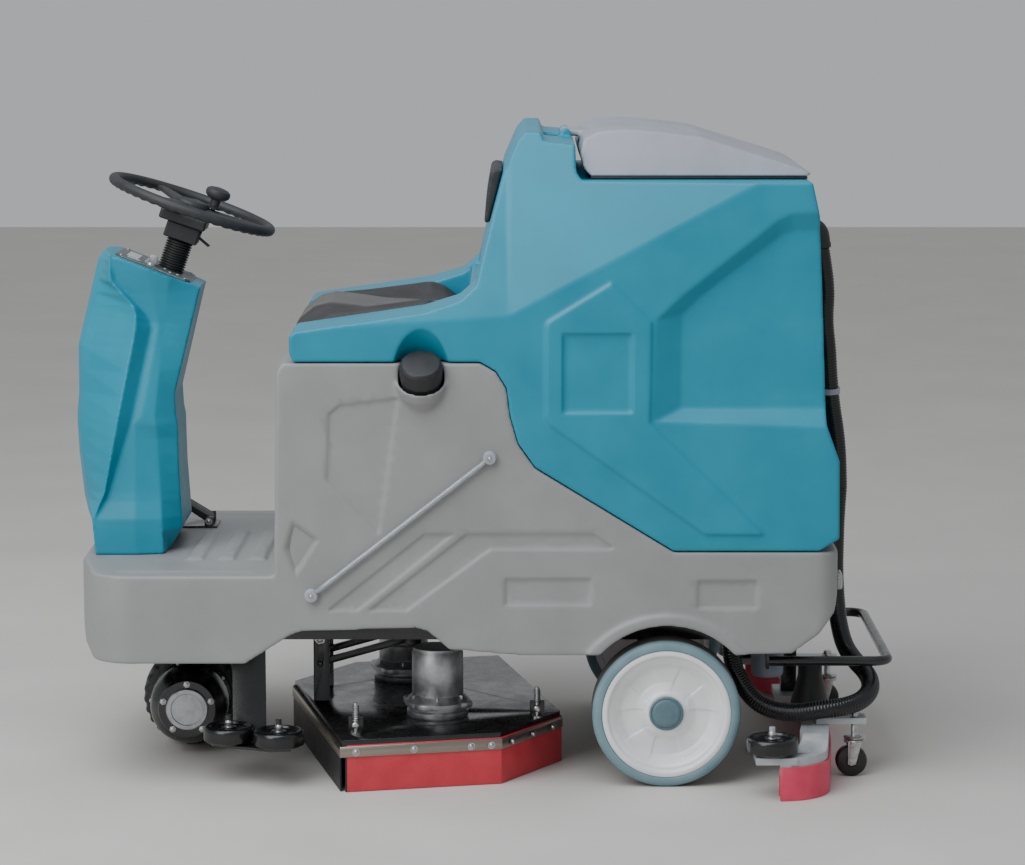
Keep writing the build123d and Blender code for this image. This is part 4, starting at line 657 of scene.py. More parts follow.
FLANK_FIELD = [(-160, 793), (-277, 779), (-299, 761), (-304, 628), (-199, 517)]
KNEE_WEDGE = [(-374, 552), (-315, 509), (-368, 426), (-393, 488)]
SLANT_BAND = [(-110, 519), (-50, 519), (-244, 362), (-304, 364)]
LONG_RAIL = [(-26, 519), (230, 519), (268, 493), (264, 487), (24, 487), (10, 478), (-146, 362), (-222, 364)]
LOW_BOXES = [[(52, 374), (224, 374), (224, 429), (52, 429)], [(437, 368), (556, 368), (556, 425), (437, 425)]]
TREAD_STRIPS = [[(-120, y), (225, y - 10), (225, y + 24), (-120, y + 30)] for y in (-592, -528, -464)]
body_tank = without_recesses("solution_tank", "solution_tank_moulding")
remeshed(body_tank, 4.0, 6)
embossed(body_tank, [FLANK_FIELD, SLANT_BAND, LONG_RAIL] + LOW_BOXES, 0, on_sides, -4.6, -1.5, 3.0)
embossed(body_tank, [KNEE_WEDGE], 0, on_sides, -18.0, -1.0, 26.0)
embossed(body_tank, TREAD_STRIPS, 2, on_footwell, 6.0, -2.0, 3.0)
thinned(body_tank, 195000)
wear(body_tank, "chassis", "grey_plastic", GREY, "solution_tank")

LABEL_FIELD = [(166, 763), (305, 763), (305, 921), (166, 921)]
rear_tank = moulded("recovery_tank", 3.4, 4)
embossed(rear_tank, [LABEL_FIELD], 0, on_sides, -2.5)
thinned(rear_tank, 195000)
wear(rear_tank, "tank", "teal_plastic", TEAL, "recovery_tank")

cover = thinned(moulded("tank_lid", 4.0, 4), 120000)
wear(cover, "lid", "light_grey_plastic", LID_GREY, "tank_lid")


# ------------------------------------------------------------------ steering column
def column_rows():
    """Half cross-sections of the column from the top down: nose, raised fairing, valley, pillar."""
    front = [(1100, -762), (1066, -776), (1039, -797), (859, -841), (760, -841), (709, -846), (635, -842),
             (543, -832), (499, -822), (490, -813), (433, -813)]
    rear = [(1100, -549), (1008, -573), (981, -582), (741, -641), (704, -631), (599, -629), (481, -622),
            (433, -652)]
    width = [(1100, 98), (866, 124), (715, 148), (560, 160), (433, 165)]
    nose = [(1100, 54), (866, 62), (715, 72), (560, 86), (433, 96)]
    corner = [(1100, -758), (1039, -784), (859, -829), (760, -829), (709, -834), (635, -830), (543, -820),
              (499, -811), (433, -804)]
    fair = [(1100, -767), (1038, -767), (997, -764), (945, -715), (920, -709), (879, -715), (695, -752),
            (561, -777), (508, -803), (433, -796)]
    valley = [(1100, -761), (1038, -761), (997, -752), (925, -692), (910, -685), (897, -682), (706, -723),
              (553, -771), (504, -799), (433, -792)]
    step = [(1100, 1), (1030, 3), (970, 20), (910, 30), (706, 26), (553, 16), (506, 2), (433, 1)]
    facet = [(1100, -700), (910, -668), (897, -666), (716, -700), (700, -716), (433, -712)]
    pillar = [(1100, -618), (982, -647), (716, -675), (700, -672), (433, -655)]
    rows = []
    for z in (1100, 1066, 1039, 1018, 997, 970, 945, 925, 910, 897, 879, 859, 810, 760, 716, 700, 670, 635,
              599, 561, 543, 506, 490, 481, 433):
        half = along(width, z)
        deep = along(step, z)
        y0, y1 = along(front, z), along(rear, z)
        in_side = half - deep
        low = z < 700
        rows.append([(0, y0, z), (along(nose, z) * 0.6, y0 + 1, z), (along(nose, z), along(corner, z), z),
                     (half, along(fair, z), z), (in_side, along(valley, z), z),
                     (in_side if low else in_side + 2, along(facet, z), z),
                     (in_side - (12 if low else 2), along(pillar, z), z),
                     (half * 0.62, y1 + 1, z), (0, y1, z)])
    return rows


def column_shell():
    """The column's moulding: lofted rows, mirrored, cut by the console's slope and closed at the cut."""
    rows = column_rows()
    rings = []
    for row in rows:
        rings.append(row + [(-x, y, z) for x, y, z in row[-2:0:-1]])
    count = len(rings[0])
    vertices = [Vector(p) * 0.001 for ring in rings for p in ring]
    faces = []
    for i in range(len(rings) - 1):
        for k in range(count):
            j = (k + 1) % count
            faces.append((i * count + k, i * count + j, (i + 1) * count + j, (i + 1) * count + k))
    faces.append(tuple(range(count)))
    faces.append(tuple((len(rings) - 1) * count + k for k in range(count)))
    shell = outward(mesh_piece("column_moulding", vertices, faces))
    work = bmesh.new()
    work.from_mesh(shell.data)
    top = (0, -0.680, 1.0189)
    normal = (0, sin(radians(21)), cos(radians(21)))
    cut = bmesh.ops.bisect_plane(work, geom=work.verts[:] + work.edges[:] + work.faces[:], plane_co=top,
                                 plane_no=normal, clear_outer=True)
    rim = [e for e in cut["geom_cut"] if isinstance(e, bmesh.types.BMEdge)]
    bmesh.ops.edgenet_fill(work, edges=rim)
    work.to_mesh(shell.data)
    work.free()
    outward(shell)
    remeshed(shell, 3.0, 3)
    return thinned(shell, 120000)


column = column_shell()
wear(column, "chassis", "teal_plastic", TEAL, "column_cover")

# console
RAKE = radians(19)
SLOPE = radians(21)
CONSOLE = Matrix.Translation((0, -0.680, 1.019)) @ Matrix.Rotation(-SLOPE, 4, "X")
WHEEL = Matrix.Translation((0, -0.602, 1.148)) @ Matrix.Rotation(-RAKE, 4, "X")
RAKE_AXIS = (0, sin(RAKE), cos(RAKE))


def on_axis(height):
    """A point of the steering axis, in millimetres."""
    return (0, -602 + height * RAKE_AXIS[1], 1148 + height * RAKE_AXIS[2])


PLATE_SHAPE = [(-60, -81), (60, -81), (71, -70), (71, 70), (60, 81), (-60, 81), (-71, 70), (-71, -70)]
plate = slab("console_panel", PLATE_SHAPE, 0.6, 4.2, CONSOLE, 1.0)
wear(plate, "chassis", "console_plate", PLATE, "console_plate")
edge = slab("console_edge", [(x * 1.025, y * 1.022) for x, y in PLATE_SHAPE], 0.2, 2.4, CONSOLE, 0.6)
wear(edge, "chassis", "zinc", STEEL)
window = slab("display_window", rounded(-42, 36, -62, -36, 3), 3.6, 5.2, CONSOLE, 0.5)
wear(window, "chassis", "clear_tube", SCREEN)
bar = slab("display_bar", rounded(46, 58, -58, -30, 3), 3.6, 4.9, CONSOLE, 0.4)
wear(bar, "chassis", "clear_tube", SCREEN)
up = CONSOLE.to_3x3() @ Vector((0, 0, 1))
console_screws = placed("console_screws", SCREW, [(CONSOLE @ Vector((x * 0.001, y * 0.001, 0.0043)), up)
                                                  for x in (-64, 64) for y in (-70, 70)], ZINC, 1.1)
wear(console_screws, "chassis", "zinc", ZINC)
leds = placed("indicator_leds", SCREW, [(CONSOLE @ Vector((x * 0.001, y * 0.001, 0.0043)), up)
                                        for x, y in ((58, 36), (30, 22), (52, 52), (-30, -20), (0, -20),
                                                     (30, -20))],
              SCREEN, 0.9)
wear(leds, "chassis", "clear_tube", SCREEN)

collar = eased("steering_collar", "chassis", "black_plastic", BLACK, 3.0, 3)
COLLAR_TOP = -20
for vertex in collar.data.vertices:
    height = (vertex.co * 1000 - Vector(on_axis(0))).dot(RAKE_AXIS)
    if height < COLLAR_TOP:
        vertex.co += Vector(RAKE_AXIS) * (COLLAR_TOP - height) * 0.3 * 0.001
BOOT_FOOT = -156
BOOT_PITCH = 5.4
boot_profile = [(BOOT_FOOT, 20)]
for i in range(14):
    h = BOOT_FOOT + i * BOOT_PITCH
    boot_profile += [(h + 0.5, 23.0), (h + 1.9, 27.8), (h + 3.5, 27.8), (h + 4.9, 23.0)]
boot_profile += [(BOOT_FOOT + 14 * BOOT_PITCH + 1, 22)]
boot = turned("bellows_boot", boot_profile, on_axis(0), RAKE_AXIS, 40)
wear(boot, "chassis", "black_rubber", RUBBER, "column_boot")


def wheel_rim():
    """The rim with a smooth top and finger scallops round its underside."""
    around, about = 320, 20
    vertices = []
    faces = []
    for i in range(around):
        a = 2 * pi * i / around
        for k in range(about):
            b = 2 * pi * k / about
            under = max(0.0, -sin(b)) ** 1.2
            r = 11.3 - 1.9 * under * (0.5 - 0.5 * cos(a * 46))
            out = 170 + r * cos(b)
            vertices.append(WHEEL @ (Vector((out * cos(a), out * sin(a), r * sin(b))) * 0.001))
    for i in range(around):
        for k in range(about):
            j, m = (i + 1) % around, (k + 1) % about
            faces.append((i * about + k, j * about + k, j * about + m, i * about + m))
    return outward(mesh_piece("wheel_rim", vertices, faces))


def wheel_spoke(turn):
    """One flattened spoke that narrows towards the rim and dips to the hub."""
    vertices = []
    faces = []
    rows = 12
    for i in range(rows):
        t = i / (rows - 1)
        out = 18 + t * 150
        half = 22 - 9 * smooth(t)
        thick = 7.5 - 1.5 * t
        mid = -6 + 5 * t
        for k in range(12):
            a = 2 * pi * k / 12
            x = out
            y = half * (abs(cos(a)) ** 0.6) * (1 if cos(a) > 0 else -1)
            z = mid + thick * sin(a)
            c, s = cos(turn), sin(turn)
            vertices.append(WHEEL @ (Vector((x * c - y * s, x * s + y * c, z)) * 0.001))
    for i in range(rows - 1):
        for k in range(12):
            m = (k + 1) % 12
            faces.append((i * 12 + k, (i + 1) * 12 + k, (i + 1) * 12 + m, i * 12 + m))
    faces.append(tuple(range(12)))
    faces.append(tuple((rows - 1) * 12 + k for k in range(12)))
    return outward(mesh_piece("spoke", vertices, faces))


def smooth(t):
    return t * t * (3 - 2 * t)


hub_profile = [(-19, 30), (-17, 36), (2, 38), (7, 36), (9, 30), (9.5, 27), (8, 26), (8, 8), (9, 0)]
wheel = joined("steering_wheel_moulding", wheel_rim(), wheel_spoke(radians(90)), wheel_spoke(radians(210)),
               wheel_spoke(radians(330)), turned("hub", hub_profile, on_axis(0), RAKE_AXIS, 40))
softened(wheel, 50)
wear(wheel, "steering", "wheel_plastic", WHEEL_SKIN, "steering_wheel")

knob_base = WHEEL @ Vector((0, 0.044, 0))
knob = turned("spinner_knob_moulding", [(-11, 5), (4, 5), (5, 14), (10, 15), (12, 10), (24, 10.5),
                                        (28, 20), (33, 25),
                                        (39, 26.5), (45, 25), (49, 19), (51, 9), (51.4, 0)],
              knob_base * 1000, RAKE_AXIS, 40)
wear(knob, "knob", "black_plastic", WHEEL_SKIN, "spinner_knob")

# key and button
key_at = CONSOLE @ Vector((0.046, -0.006, 0))
key_frame = CONSOLE @ Matrix.Translation((0.046, -0.006, 0))
barrel = turned("key_barrel", [(-7.5, 8.3), (8, 8.3), (8.6, 7.4), (8.6, 0)], key_at * 1000, up, 28)
blade = slab("key_bow", rounded(-1.2, 1.2, -8, 8, 1.1), 8, 25, key_frame, 0.5)
key_piece = joined("ignition_key", barrel, blade)
softened(key_piece, 40)
wear(key_piece, "key", "zinc", ZINC, "key_switch")
ring = turned("key_ring_nut", [(4.1, 10.5), (4.1, 13), (8.2, 12.6), (9.2, 11.6), (9.2, 8.9), (4.1, 8.9)],
              key_at * 1000, up, 24)
wear(ring, "chassis", "zinc", ZINC)
eased("stop_button", "button", "button_red", RED_PLASTIC, 1.0)

# ------------------------------------------------------------------ seat
BOLSTER = ([-382, -346, -303, -246, -136, -107, -78, -40, -24], [903, 918, 941, 946, 960, 965, 954, 925, 905])
MIDDLE = ([-382, -375, -340, -309, -262, -200, -120, -60, -24], [900, 919, 947, 955, 950, 941, 937, 934, 918])


def seat_height(x, y):
    """Height of the seat's skin: front roll, dished pad, and bolsters past a crease on each side."""
    side = smooth(min(1, max(0, (abs(x) - 126) / 46)))
    height = np.interp(y, *MIDDLE) * (1 - side) + np.interp(y, *BOLSTER) * side
    crease = 6.0 * exp(-((abs(x) - 128) / 5.5) ** 2) * smooth(min(1, max(0, (y + 350) / 40)))
    crown = 5.0 * exp(-((abs(x) - 190) / 16) ** 2)
    edge_drop = 34 * max(0.0, (abs(x) - 206) / 20) ** 2.4
    return min(967, height - crease + crown) - edge_drop


def seat_moulding():
    """Closed seat body: the skin above, flat below."""
    across, deep = 151, 91
    vertices = []
    faces = []
    for j in range(deep):
        y = -381 + 356 * j / (deep - 1)
        for i in range(across):
            x = -226 + 452 * i / (across - 1)
            vertices.append((x, y, max(897, seat_height(x, y))))
    low = len(vertices)
    for j in range(deep):
        y = -381 + 356 * j / (deep - 1)
        for i in range(across):
            vertices.append((-226 + 452 * i / (across - 1), y, 893))
    for j in range(deep - 1):
        for i in range(across - 1):
            a = j * across + i
            faces.append((a, a + 1, a + across + 1, a + across))
            faces.append((low + a, low + a + across, low + a + across + 1, low + a + 1))
    rim = [i for i in range(across)]
    rim += [j * across + across - 1 for j in range(1, deep)]
    rim += [(deep - 1) * across + i for i in range(across - 2, -1, -1)]
    rim += [j * across for j in range(deep - 2, 0, -1)]
    for a, b in zip(rim, rim[1:] + rim[:1]):
        faces.append((a, b, low + b, low + a))
    piece = outward(mesh_piece("seat_moulding", [Vector(v) * 0.001 for v in vertices], faces))
    remeshed(piece, 4.0, 2)
    return thinned(piece, 120000)


seat = seat_moulding()
wear(seat, "tank", "seat_cover", SEAT_SKIN, "seat_cushion")

lumbar = thinned(moulded("back_pad", 3.5, 8), 60000)
wear(lumbar, "tank", "black_rubber", PAD_SKIN, "back_pad")

# ------------------------------------------------------------------ rear wheels
AXLE = (377, 150)


def rim_relief(r, a):
    """Depth of the rim's face at a radius and angle: a dish with five raised petals."""
    dish = 16 + 20 * smooth(min(1, max(0, (r - 36) / 26))) - 24 * smooth(min(1, max(0, (r - 88) / 26)))
    best = -9.0
    for k in range(5):
        d = (a - (radians(90) + 2 * pi * k / 5) + pi) % (2 * pi) - pi
        out = r * cos(d)
        off = abs(r * sin(d))
        half = 9 + (out - 44) * 0.42
        best = max(best, min(half - off, out - 45, 101 - r))
    petal = smooth(min(1, max(0, (best + 1.2) / 2.4)))
    return dish - 2.6 * petal


def rim_face(side):
    """The rim's outer face as a fine polar sheet, closed behind, with lip and barrel."""
    steps = 240
    radii = [30, 33, 36] + [36 + 1.6 * i for i in range(1, 50)] + [116.5]
    rows = []
    for r in radii:
        rows.append([(rim_relief(r, 2 * pi * i / steps), r) for i in range(steps)])
    lip = [(4, 118), (2.2, 119), (1.6, 121), (1.6, 127), (3, 129.5), (66, 129.5), (66, 118), (48, 114),
           (48, 60), (60, 34), (60, 13), (14, 13), (13, 27), (13.5, 30)]
    for depth, r in lip:
        rows.append([(depth, r)] * steps)
    vertices = []
    faces = []
    for row in rows:
        for i, (depth, r) in enumerate(row):
            a = 2 * pi * i / steps
            vertices.append(Vector((side * (405 - depth), AXLE[0] + r * cos(a),
                                    AXLE[1] + r * sin(a))) * 0.001)
    for row in range(len(rows)):
        nxt = (row + 1) % len(rows)
        for i in range(steps):
            j = (i + 1) % steps
            faces.append((row * steps + i, row * steps + j, nxt * steps + j, nxt * steps + i))
    piece = outward(mesh_piece("rim_casting_%s" % ("left" if side > 0 else "right"), vertices, faces))
    return softened(piece, 50)


for side, tag in (1, "left"), (-1, "right"):
    rim_piece = rim_face(side)
    wear(rim_piece, "wheel_" + tag, "rim_paint", RIM, "rear_rim_" + tag)
    out = (side, 0, 0)
    centre = (side * 405, *AXLE)
    tyre_profile = [(-3, 130.2), (-0.6, 131.5), (0, 135), (-0.8, 142), (-4, 147), (-9, 149.4), (-20, 150),
                    (-52, 150), (-63, 149.4), (-68, 147), (-71.2, 142), (-72, 135), (-71, 130.2)]
    tyre = turned("wheel_tyre_" + tag, tyre_profile, centre, out, 160)
    work = bmesh.new()
    work.from_mesh(tyre.data)
    bmesh.ops.delete(work, geom=[f for f in work.faces if len(f.verts) > 20], context="FACES")
    work.to_mesh(tyre.data)
    work.free()
    close = tyre.modifiers.new("inner", "SOLIDIFY")
    close.thickness = 0.0006
    close.offset = -1
    made_plain(tyre)
    softened(tyre, 50)
    wear(tyre, "wheel_" + tag, "grey_tyre", TYRE_GREY, "rear_tyre_" + tag)
    tread = turned("wheel_tread_" + tag, [(-10.5, 149.0), (-10.6, 150.1), (-61.4, 150.1), (-61.5, 149.0)],
                   centre, out, 160)
    work = bmesh.new()
    work.from_mesh(tread.data)
    bmesh.ops.delete(work, geom=[f for f in work.faces if len(f.verts) > 20], context="FACES")
    work.to_mesh(tread.data)
    work.free()
    wear(tread, "wheel_" + tag, "grey_tyre", TREAD)
    cap = turned("hub_cap_" + tag, [(-16, 34), (-9, 34.8), (-7.5, 33.5), (-7, 31), (-8.5, 30.5), (-8.5,
                                                                                                  29.5),
                                                                                                  (-7, 28),
                                    (-5.4, 22), (-4.8, 0)], centre, out, 64)
    wear(cap, "wheel_" + tag, "rim_paint", HUB_CAP)

# ------------------------------------------------------------------ front drive and rollers
drive_axis = (1, 0, 0)
drive_at = (0, -612, 105)
housing = turned("drive_gearbox", [(62, 70), (62, 84), (66, 86), (76, 86), (78, 83), (120, 81), (136, 75),
                                   (147, 64),
                                   (151, 60), (155, 59), (155, 20)], drive_at, drive_axis, 72)
wear(housing, "drive_unit", "black_paint", COAT, "drive_housing")
spin = [(2 * pi * i / 5 + 0.32) for i in range(5)]
housing_bolts = placed("gearbox_bolts", HEX_BOLT,
                       [(Vector((0.1552, -0.612 + 0.0525 * cos(a), 0.105 + 0.0525 * sin(a))),
                                                    (1, 0, 0)) for a in spin], ZINC, 0.75)
wear(housing_bolts, "drive_unit", "zinc", ZINC)
flange_bolts = placed("gearbox_flange_bolts", HEX_BOLT, [(Vector((0.076, -0.612 + 0.0825 * cos(a + 0.3),
                                                                  0.105 + 0.0825 * sin(a + 0.3))),
                                                          (1, 0, 0)) for a in spin], ZINC, 0.6)
wear(flange_bolts, "drive_unit", "zinc", ZINC)
hub_disc = turned("drive_end_cover", [(-42, 14), (155.2, 14), (155.4, 44), (159, 44), (161.2, 42),
                                      (161.7, 34), (160.2, 32.5),
                                      (160.2, 8), (160.8, 0)], drive_at, drive_axis, 64)
wear(hub_disc, "drive_wheel", "zinc", ALU, "drive_hub")


def drive_tyre():
    """Tyre of the drive wheel with slanted shoulder lugs."""
    steps = 216
    profile = [(-42, 70), (-42, 86), (-41, 94), (-37, 100), (-30, 103.5), (-18, 104.8), (0, 105), (18, 104.8),
               (30, 103.5), (37, 100), (41, 94), (42, 86), (42, 70), (31, 69), (31, 15), (-31, 15), (-31, 69)]
    vertices = []
    faces = []
    for x, r in profile:
        for i in range(steps):
            a = 2 * pi * i / steps
            lug = smooth(0.5 + 0.5 * max(-1, min(1, 3 * cos(a * 27 + abs(x) * 0.05))))
            cut = 3.4 * (1 - lug) if r > 93 and abs(x) > 12 else 0
            vertices.append(Vector((x, -612 + (r - cut) * cos(a), 105 + (r - cut) * sin(a))) * 0.001)
    for row in range(len(profile)):
        nxt = (row + 1) % len(profile)
        for i in range(steps):
            j = (i + 1) % steps
            faces.append((row * steps + i, row * steps + j, nxt * steps + j, nxt * steps + i))
    return softened(outward(mesh_piece("drive_tyre_lugs", vertices, faces)), 45)


wear(drive_tyre(), "drive_wheel", "drive_tyre", RUBBER, "drive_tyre")


def roller(name, x, y, z, body, node, holder):
    """A dished bumper roller with its cup washer and domed nut."""
    wheel_piece = turned(name, [(0, 8), (0, 40), (2, 47), (5, 51), (9, 52), (25, 52), (30, 51), (33.5, 47),
                                (34.2, 43),
                                (33, 39.5), (29, 37), (27, 22), (28, 18), (30, 15), (30, 8)], (x, y, z),
                                (0, 0, 1), 64)
    wear(wheel_piece, body, "roller_rubber", GLOSS_RUBBER, node)
    washer = turned(name + "_washer", [(30.5, 6), (30.6, 15), (31.6, 15.2), (32.5, 13), (32.5, 6)],
                    (x, y, z), (0, 0, 1), 32)
    nut = turned(name + "_nut", [(32.5, 9), (39, 9), (40, 7.6), (43, 7.2), (46, 5), (47, 2), (47.2, 0)],
                 (x, y, z), (0, 0, 1), 18)
    top = joined(name + "_fastener", washer, nut)
    softened(top, 40)
    wear(top, holder, "zinc", ZINC)


roller("bumper_wheel_front", 344, -509, 80.5, "bumper_front", "bumper_roller_front", "chassis")
roller("bumper_wheel_rear", 384, -405, 80.5, "bumper_rear", "bumper_roller_rear", "chassis")
roller("squeegee_wheel_left", 478, 584, 88, "end_roller_l", "squeegee_roller_left", "squeegee")
roller("squeegee_wheel_right", -478, 584, 88, "end_roller_r", "squeegee_roller_right", "squeegee")

# ------------------------------------------------------------------ brush deck
eased("deck_plate", "deck", "black_paint", COAT, 2.0, 2)
eased("clamp_strips", "deck", "stainless", STEEL, 0.5, 1)
SKEW = radians(13)
DECK_FRONT = -367


def deck_at(p, q, z):
    """A point of the skewed deck, in millimetres."""
    return (p * cos(SKEW) - q * sin(SKEW), p * sin(SKEW) + q * cos(SKEW), z)


def deck_way(p, q):
    """A direction of the skewed deck."""
    return (p * cos(SKEW) - q * sin(SKEW), p * sin(SKEW) + q * cos(SKEW), 0)


def one_side(piece, name, behind):
    """The part of a piece behind or before the line of the deck's front skirt, closed at the cut."""
    result = bpy.data.objects.new(name, piece.data.copy())
    scene.collection.objects.link(result)
    work = bmesh.new()
    work.from_mesh(result.data)
    everything = work.verts[:] + work.edges[:] + work.faces[:]
    cut = bmesh.ops.bisect_plane(work, geom=everything, plane_co=Vector(deck_at(0, DECK_FRONT + 9,
                                                                                60)) * 0.001,
                                 plane_no=deck_way(0, 1), clear_inner=behind, clear_outer=not behind)
    bmesh.ops.holes_fill(work, edges=[e for e in cut["geom_cut"] if isinstance(e, bmesh.types.BMEdge)])
    work.to_mesh(result.data)
    work.free()
    return softened(result, 40)


skirts = eased("deck_skirts", "deck", "red_rubber", RED_RUBBER, 0.8, 2)
wear(one_side(skirts, "side_and_rear_skirts", True), "deck", "red_rubber", RED_RUBBER, "deck_skirts")
wear(one_side(skirts, "front_skirt", False), "deck", "black_rubber", RUBBER, "deck_skirts")
bpy.data.objects.remove(skirts)

strip_spots = [(Vector(deck_at(378, q, 82)) * 0.001, deck_way(1, 0)) for q in (-340, -222, -104, -62)]
strip_spots += [(Vector(deck_at(p, q, 82)) * 0.001, deck_way(0.707, 0.707))
                for p, q in ((357, -13), (301, 43), (246, 98))]
strip_spots += [(Vector(deck_at(p, 128, 82)) * 0.001, deck_way(0, 1)) for p in (180, 60, -60, -180, -300)]
strip_spots += [(Vector(deck_at(-378, q, 82)) * 0.001, deck_way(-1, 0)) for q in (90, -20, -130)]
strip_bolts = placed("strip_bolts", DOME_BOLT, strip_spots, ZINC, 0.9)
wear(strip_bolts, "deck", "zinc", ZINC)

ALUMINIUM_MOTORS = []
for tag, (p, q) in ("left", (182, -132)), ("right", (-182, -132)):
    x, y, _ = deck_at(p, q, 0)
    can = turned("brush_motor_can_" + tag, [(150, 40), (150, 50), (154, 53), (238, 53), (241, 51),
                                            (249, 50), (250, 40)],
                 (x, y, 0), (0, 0, 1), 56)
    gear = turned("brush_motor_gearcase_" + tag, [(106.2, 12), (106.2, 62), (110, 64), (118, 64), (122,
                                                                                                   60),
                                                                                                   (128,
                                                                                                    60),
                                                                                                    (130, 68),
                                                  (138, 68), (140, 64), (150, 55), (153, 50)], (x, y, 0),
                                                  (0, 0, 1), 56)
    square = slab("brush_motor_flange_" + tag, [(cx * 0.98, cy * 0.98) for cx, cy in rounded(-62, 62, -62,
                                                                                             62, 22)], 128,
                                                                                             140,
                  Matrix.Translation((x * 0.001, y * 0.001, 0)) @ Matrix.Rotation(radians(20), 4, "Z"), 2.0)
    ribs = [slab("rib", [(-2, 30), (2, 30), (2, 60), (-2, 60)], 138, 152,
                 Matrix.Translation((x * 0.001, y * 0.001, 0)) @ Matrix.Rotation(radians(30 + 60 * k), 4,
                                                                                 "Z"), 0.5)
            for k in range(6)]
    motor = joined("brush_motor_" + tag, can, gear, square, *ribs)
    softened(motor, 40)
    ALUMINIUM_MOTORS.append(motor)
motors = joined("brush_motor_pair", *ALUMINIUM_MOTORS)
softened(motors, 40)
wear(motors, "deck", "aluminium_case", ALU, "brush_motors")


def brush_piece(tag, p, q, body):
    """A disc brush with tufts of bristle set in rings."""
    x, y, _ = deck_at(p, q, 0)
    block = turned("brush_block_" + tag, [(52, 20), (52, 160), (56, 162), (66, 162), (68, 158), (68, 26),
                                          (92, 26), (92, 11),
                                          (126, 11), (126, 0)], (x, y, 0), (0, 0, 1), 72)
    wear(block, body, "brush_plastic", BLACK, "brush_" + tag)
    places = []
    for r in (154, 143, 132, 120, 108, 96):
        count = int(2 * pi * r / (11 if r > 140 else 15))
        for i in range(count):
            a = 2 * pi * i / count + r
            lean = 0.16 if r > 150 else 0.03
            places.append((Vector((x + r * cos(a), y + r * sin(a), 53)) * 0.001,
                           (lean * cos(a), lean * sin(a), -1)))
    tufts = placed("brush_tufts_" + tag, TUFT, places, BRISTLE, 1.0, 0.03, 0.05)
    wear(tufts, body, "brush_plastic", BRISTLE)


brush_piece("left", 182, -132, "brush_l")
brush_piece("right", -182, -132, "brush_r")


def coil(name, start, end, radius, wire, turns, steps=14):
    """A coil spring between two points, in millimetres."""
    a, b = Vector(start) * 0.001, Vector(end) * 0.001
    z = (b - a).normalized()
    x = z.orthogonal().normalized()
    y = z.cross(x)
    points = []
    for i in range(turns * steps + 1):
        t = i / (turns * steps)
        w = 2 * pi * turns * t
        points.append(a + (b - a) * t + (x * cos(w) + y * sin(w)) * radius * 0.001)
    piece = swept(name, points, wire * 0.001, 8)
    piece.data.shade_smooth()
    return piece


def spring_pin(tag, p, q):
    """A skirt height pin on the deck: upright rod, coil spring and side pin, with its bracket."""
    x, y, _ = deck_at(p, q, 0)
    rod_piece = turned("pin", [(106, 4), (168, 4), (170, 3), (170, 0)], (x, y, 0), (0, 0, 1), 16)
    base = turned("pin_base", [(106, 11), (110, 11), (111, 9), (111, 4)], (x, y, 0), (0, 0, 1), 20)
    side_pin = turned("side_pin", [(-14, 0), (-14, 4), (-9, 4.5), (14, 4.5), (16, 6.5), (20, 6.5), (22, 4),
                                   (22, 0)],
                      (x, y, 128), (1, 0, 0), 16)
    whole = joined("spring_pin_" + tag, rod_piece, base, side_pin, coil("spring", (x, y, 132), (x, y, 166),
                                                                        6.2, 1.1, 9))
    softened(whole, 40)
    wear(whole, "deck", "zinc", ZINC)
    ear = slab("pin_bracket_" + tag, [(-3, -15), (3, -15), (3, 15), (-3, 15)], 106, 140,
               Matrix.Translation(((x - 8) * 0.001, y * 0.001, 0)), 1.0)
    wear(ear, "deck", "black_paint", COAT)


spring_pin("front", 322, -330)
spring_pin("rear", 255, 62)

for node, body in ("lift_arms", "arms"), ("lower_links", "links"), ("chassis_frame", "chassis"), \
        ("drive_fork", "drive_unit"), ("tow_arm", "tow"), ("guard_bar", "chassis"), ("pedal_base", "chassis"):
    eased(node, body, "black_paint", COAT, 1.2, 2)
arm_nuts = placed("lift_arm_nuts", HEX_BOLT, spots((80, -166, 288), (80, -338, 240)), ZINC, 1.3)
wear(arm_nuts, "arms", "zinc", ZINC)
eased("lift_actuator", "chassis", "aluminium_case", ALU, 1.5)
eased("accelerator_pedal", "pedal", "black_rubber", RUBBER, 2.0, 3)
pedal_pin = placed("pedal_pin_heads", DOME_BOLT, spots((-170.5, -592, 448)), ZINC, 0.9)
wear(pedal_pin, "chassis", "zinc", ZINC)

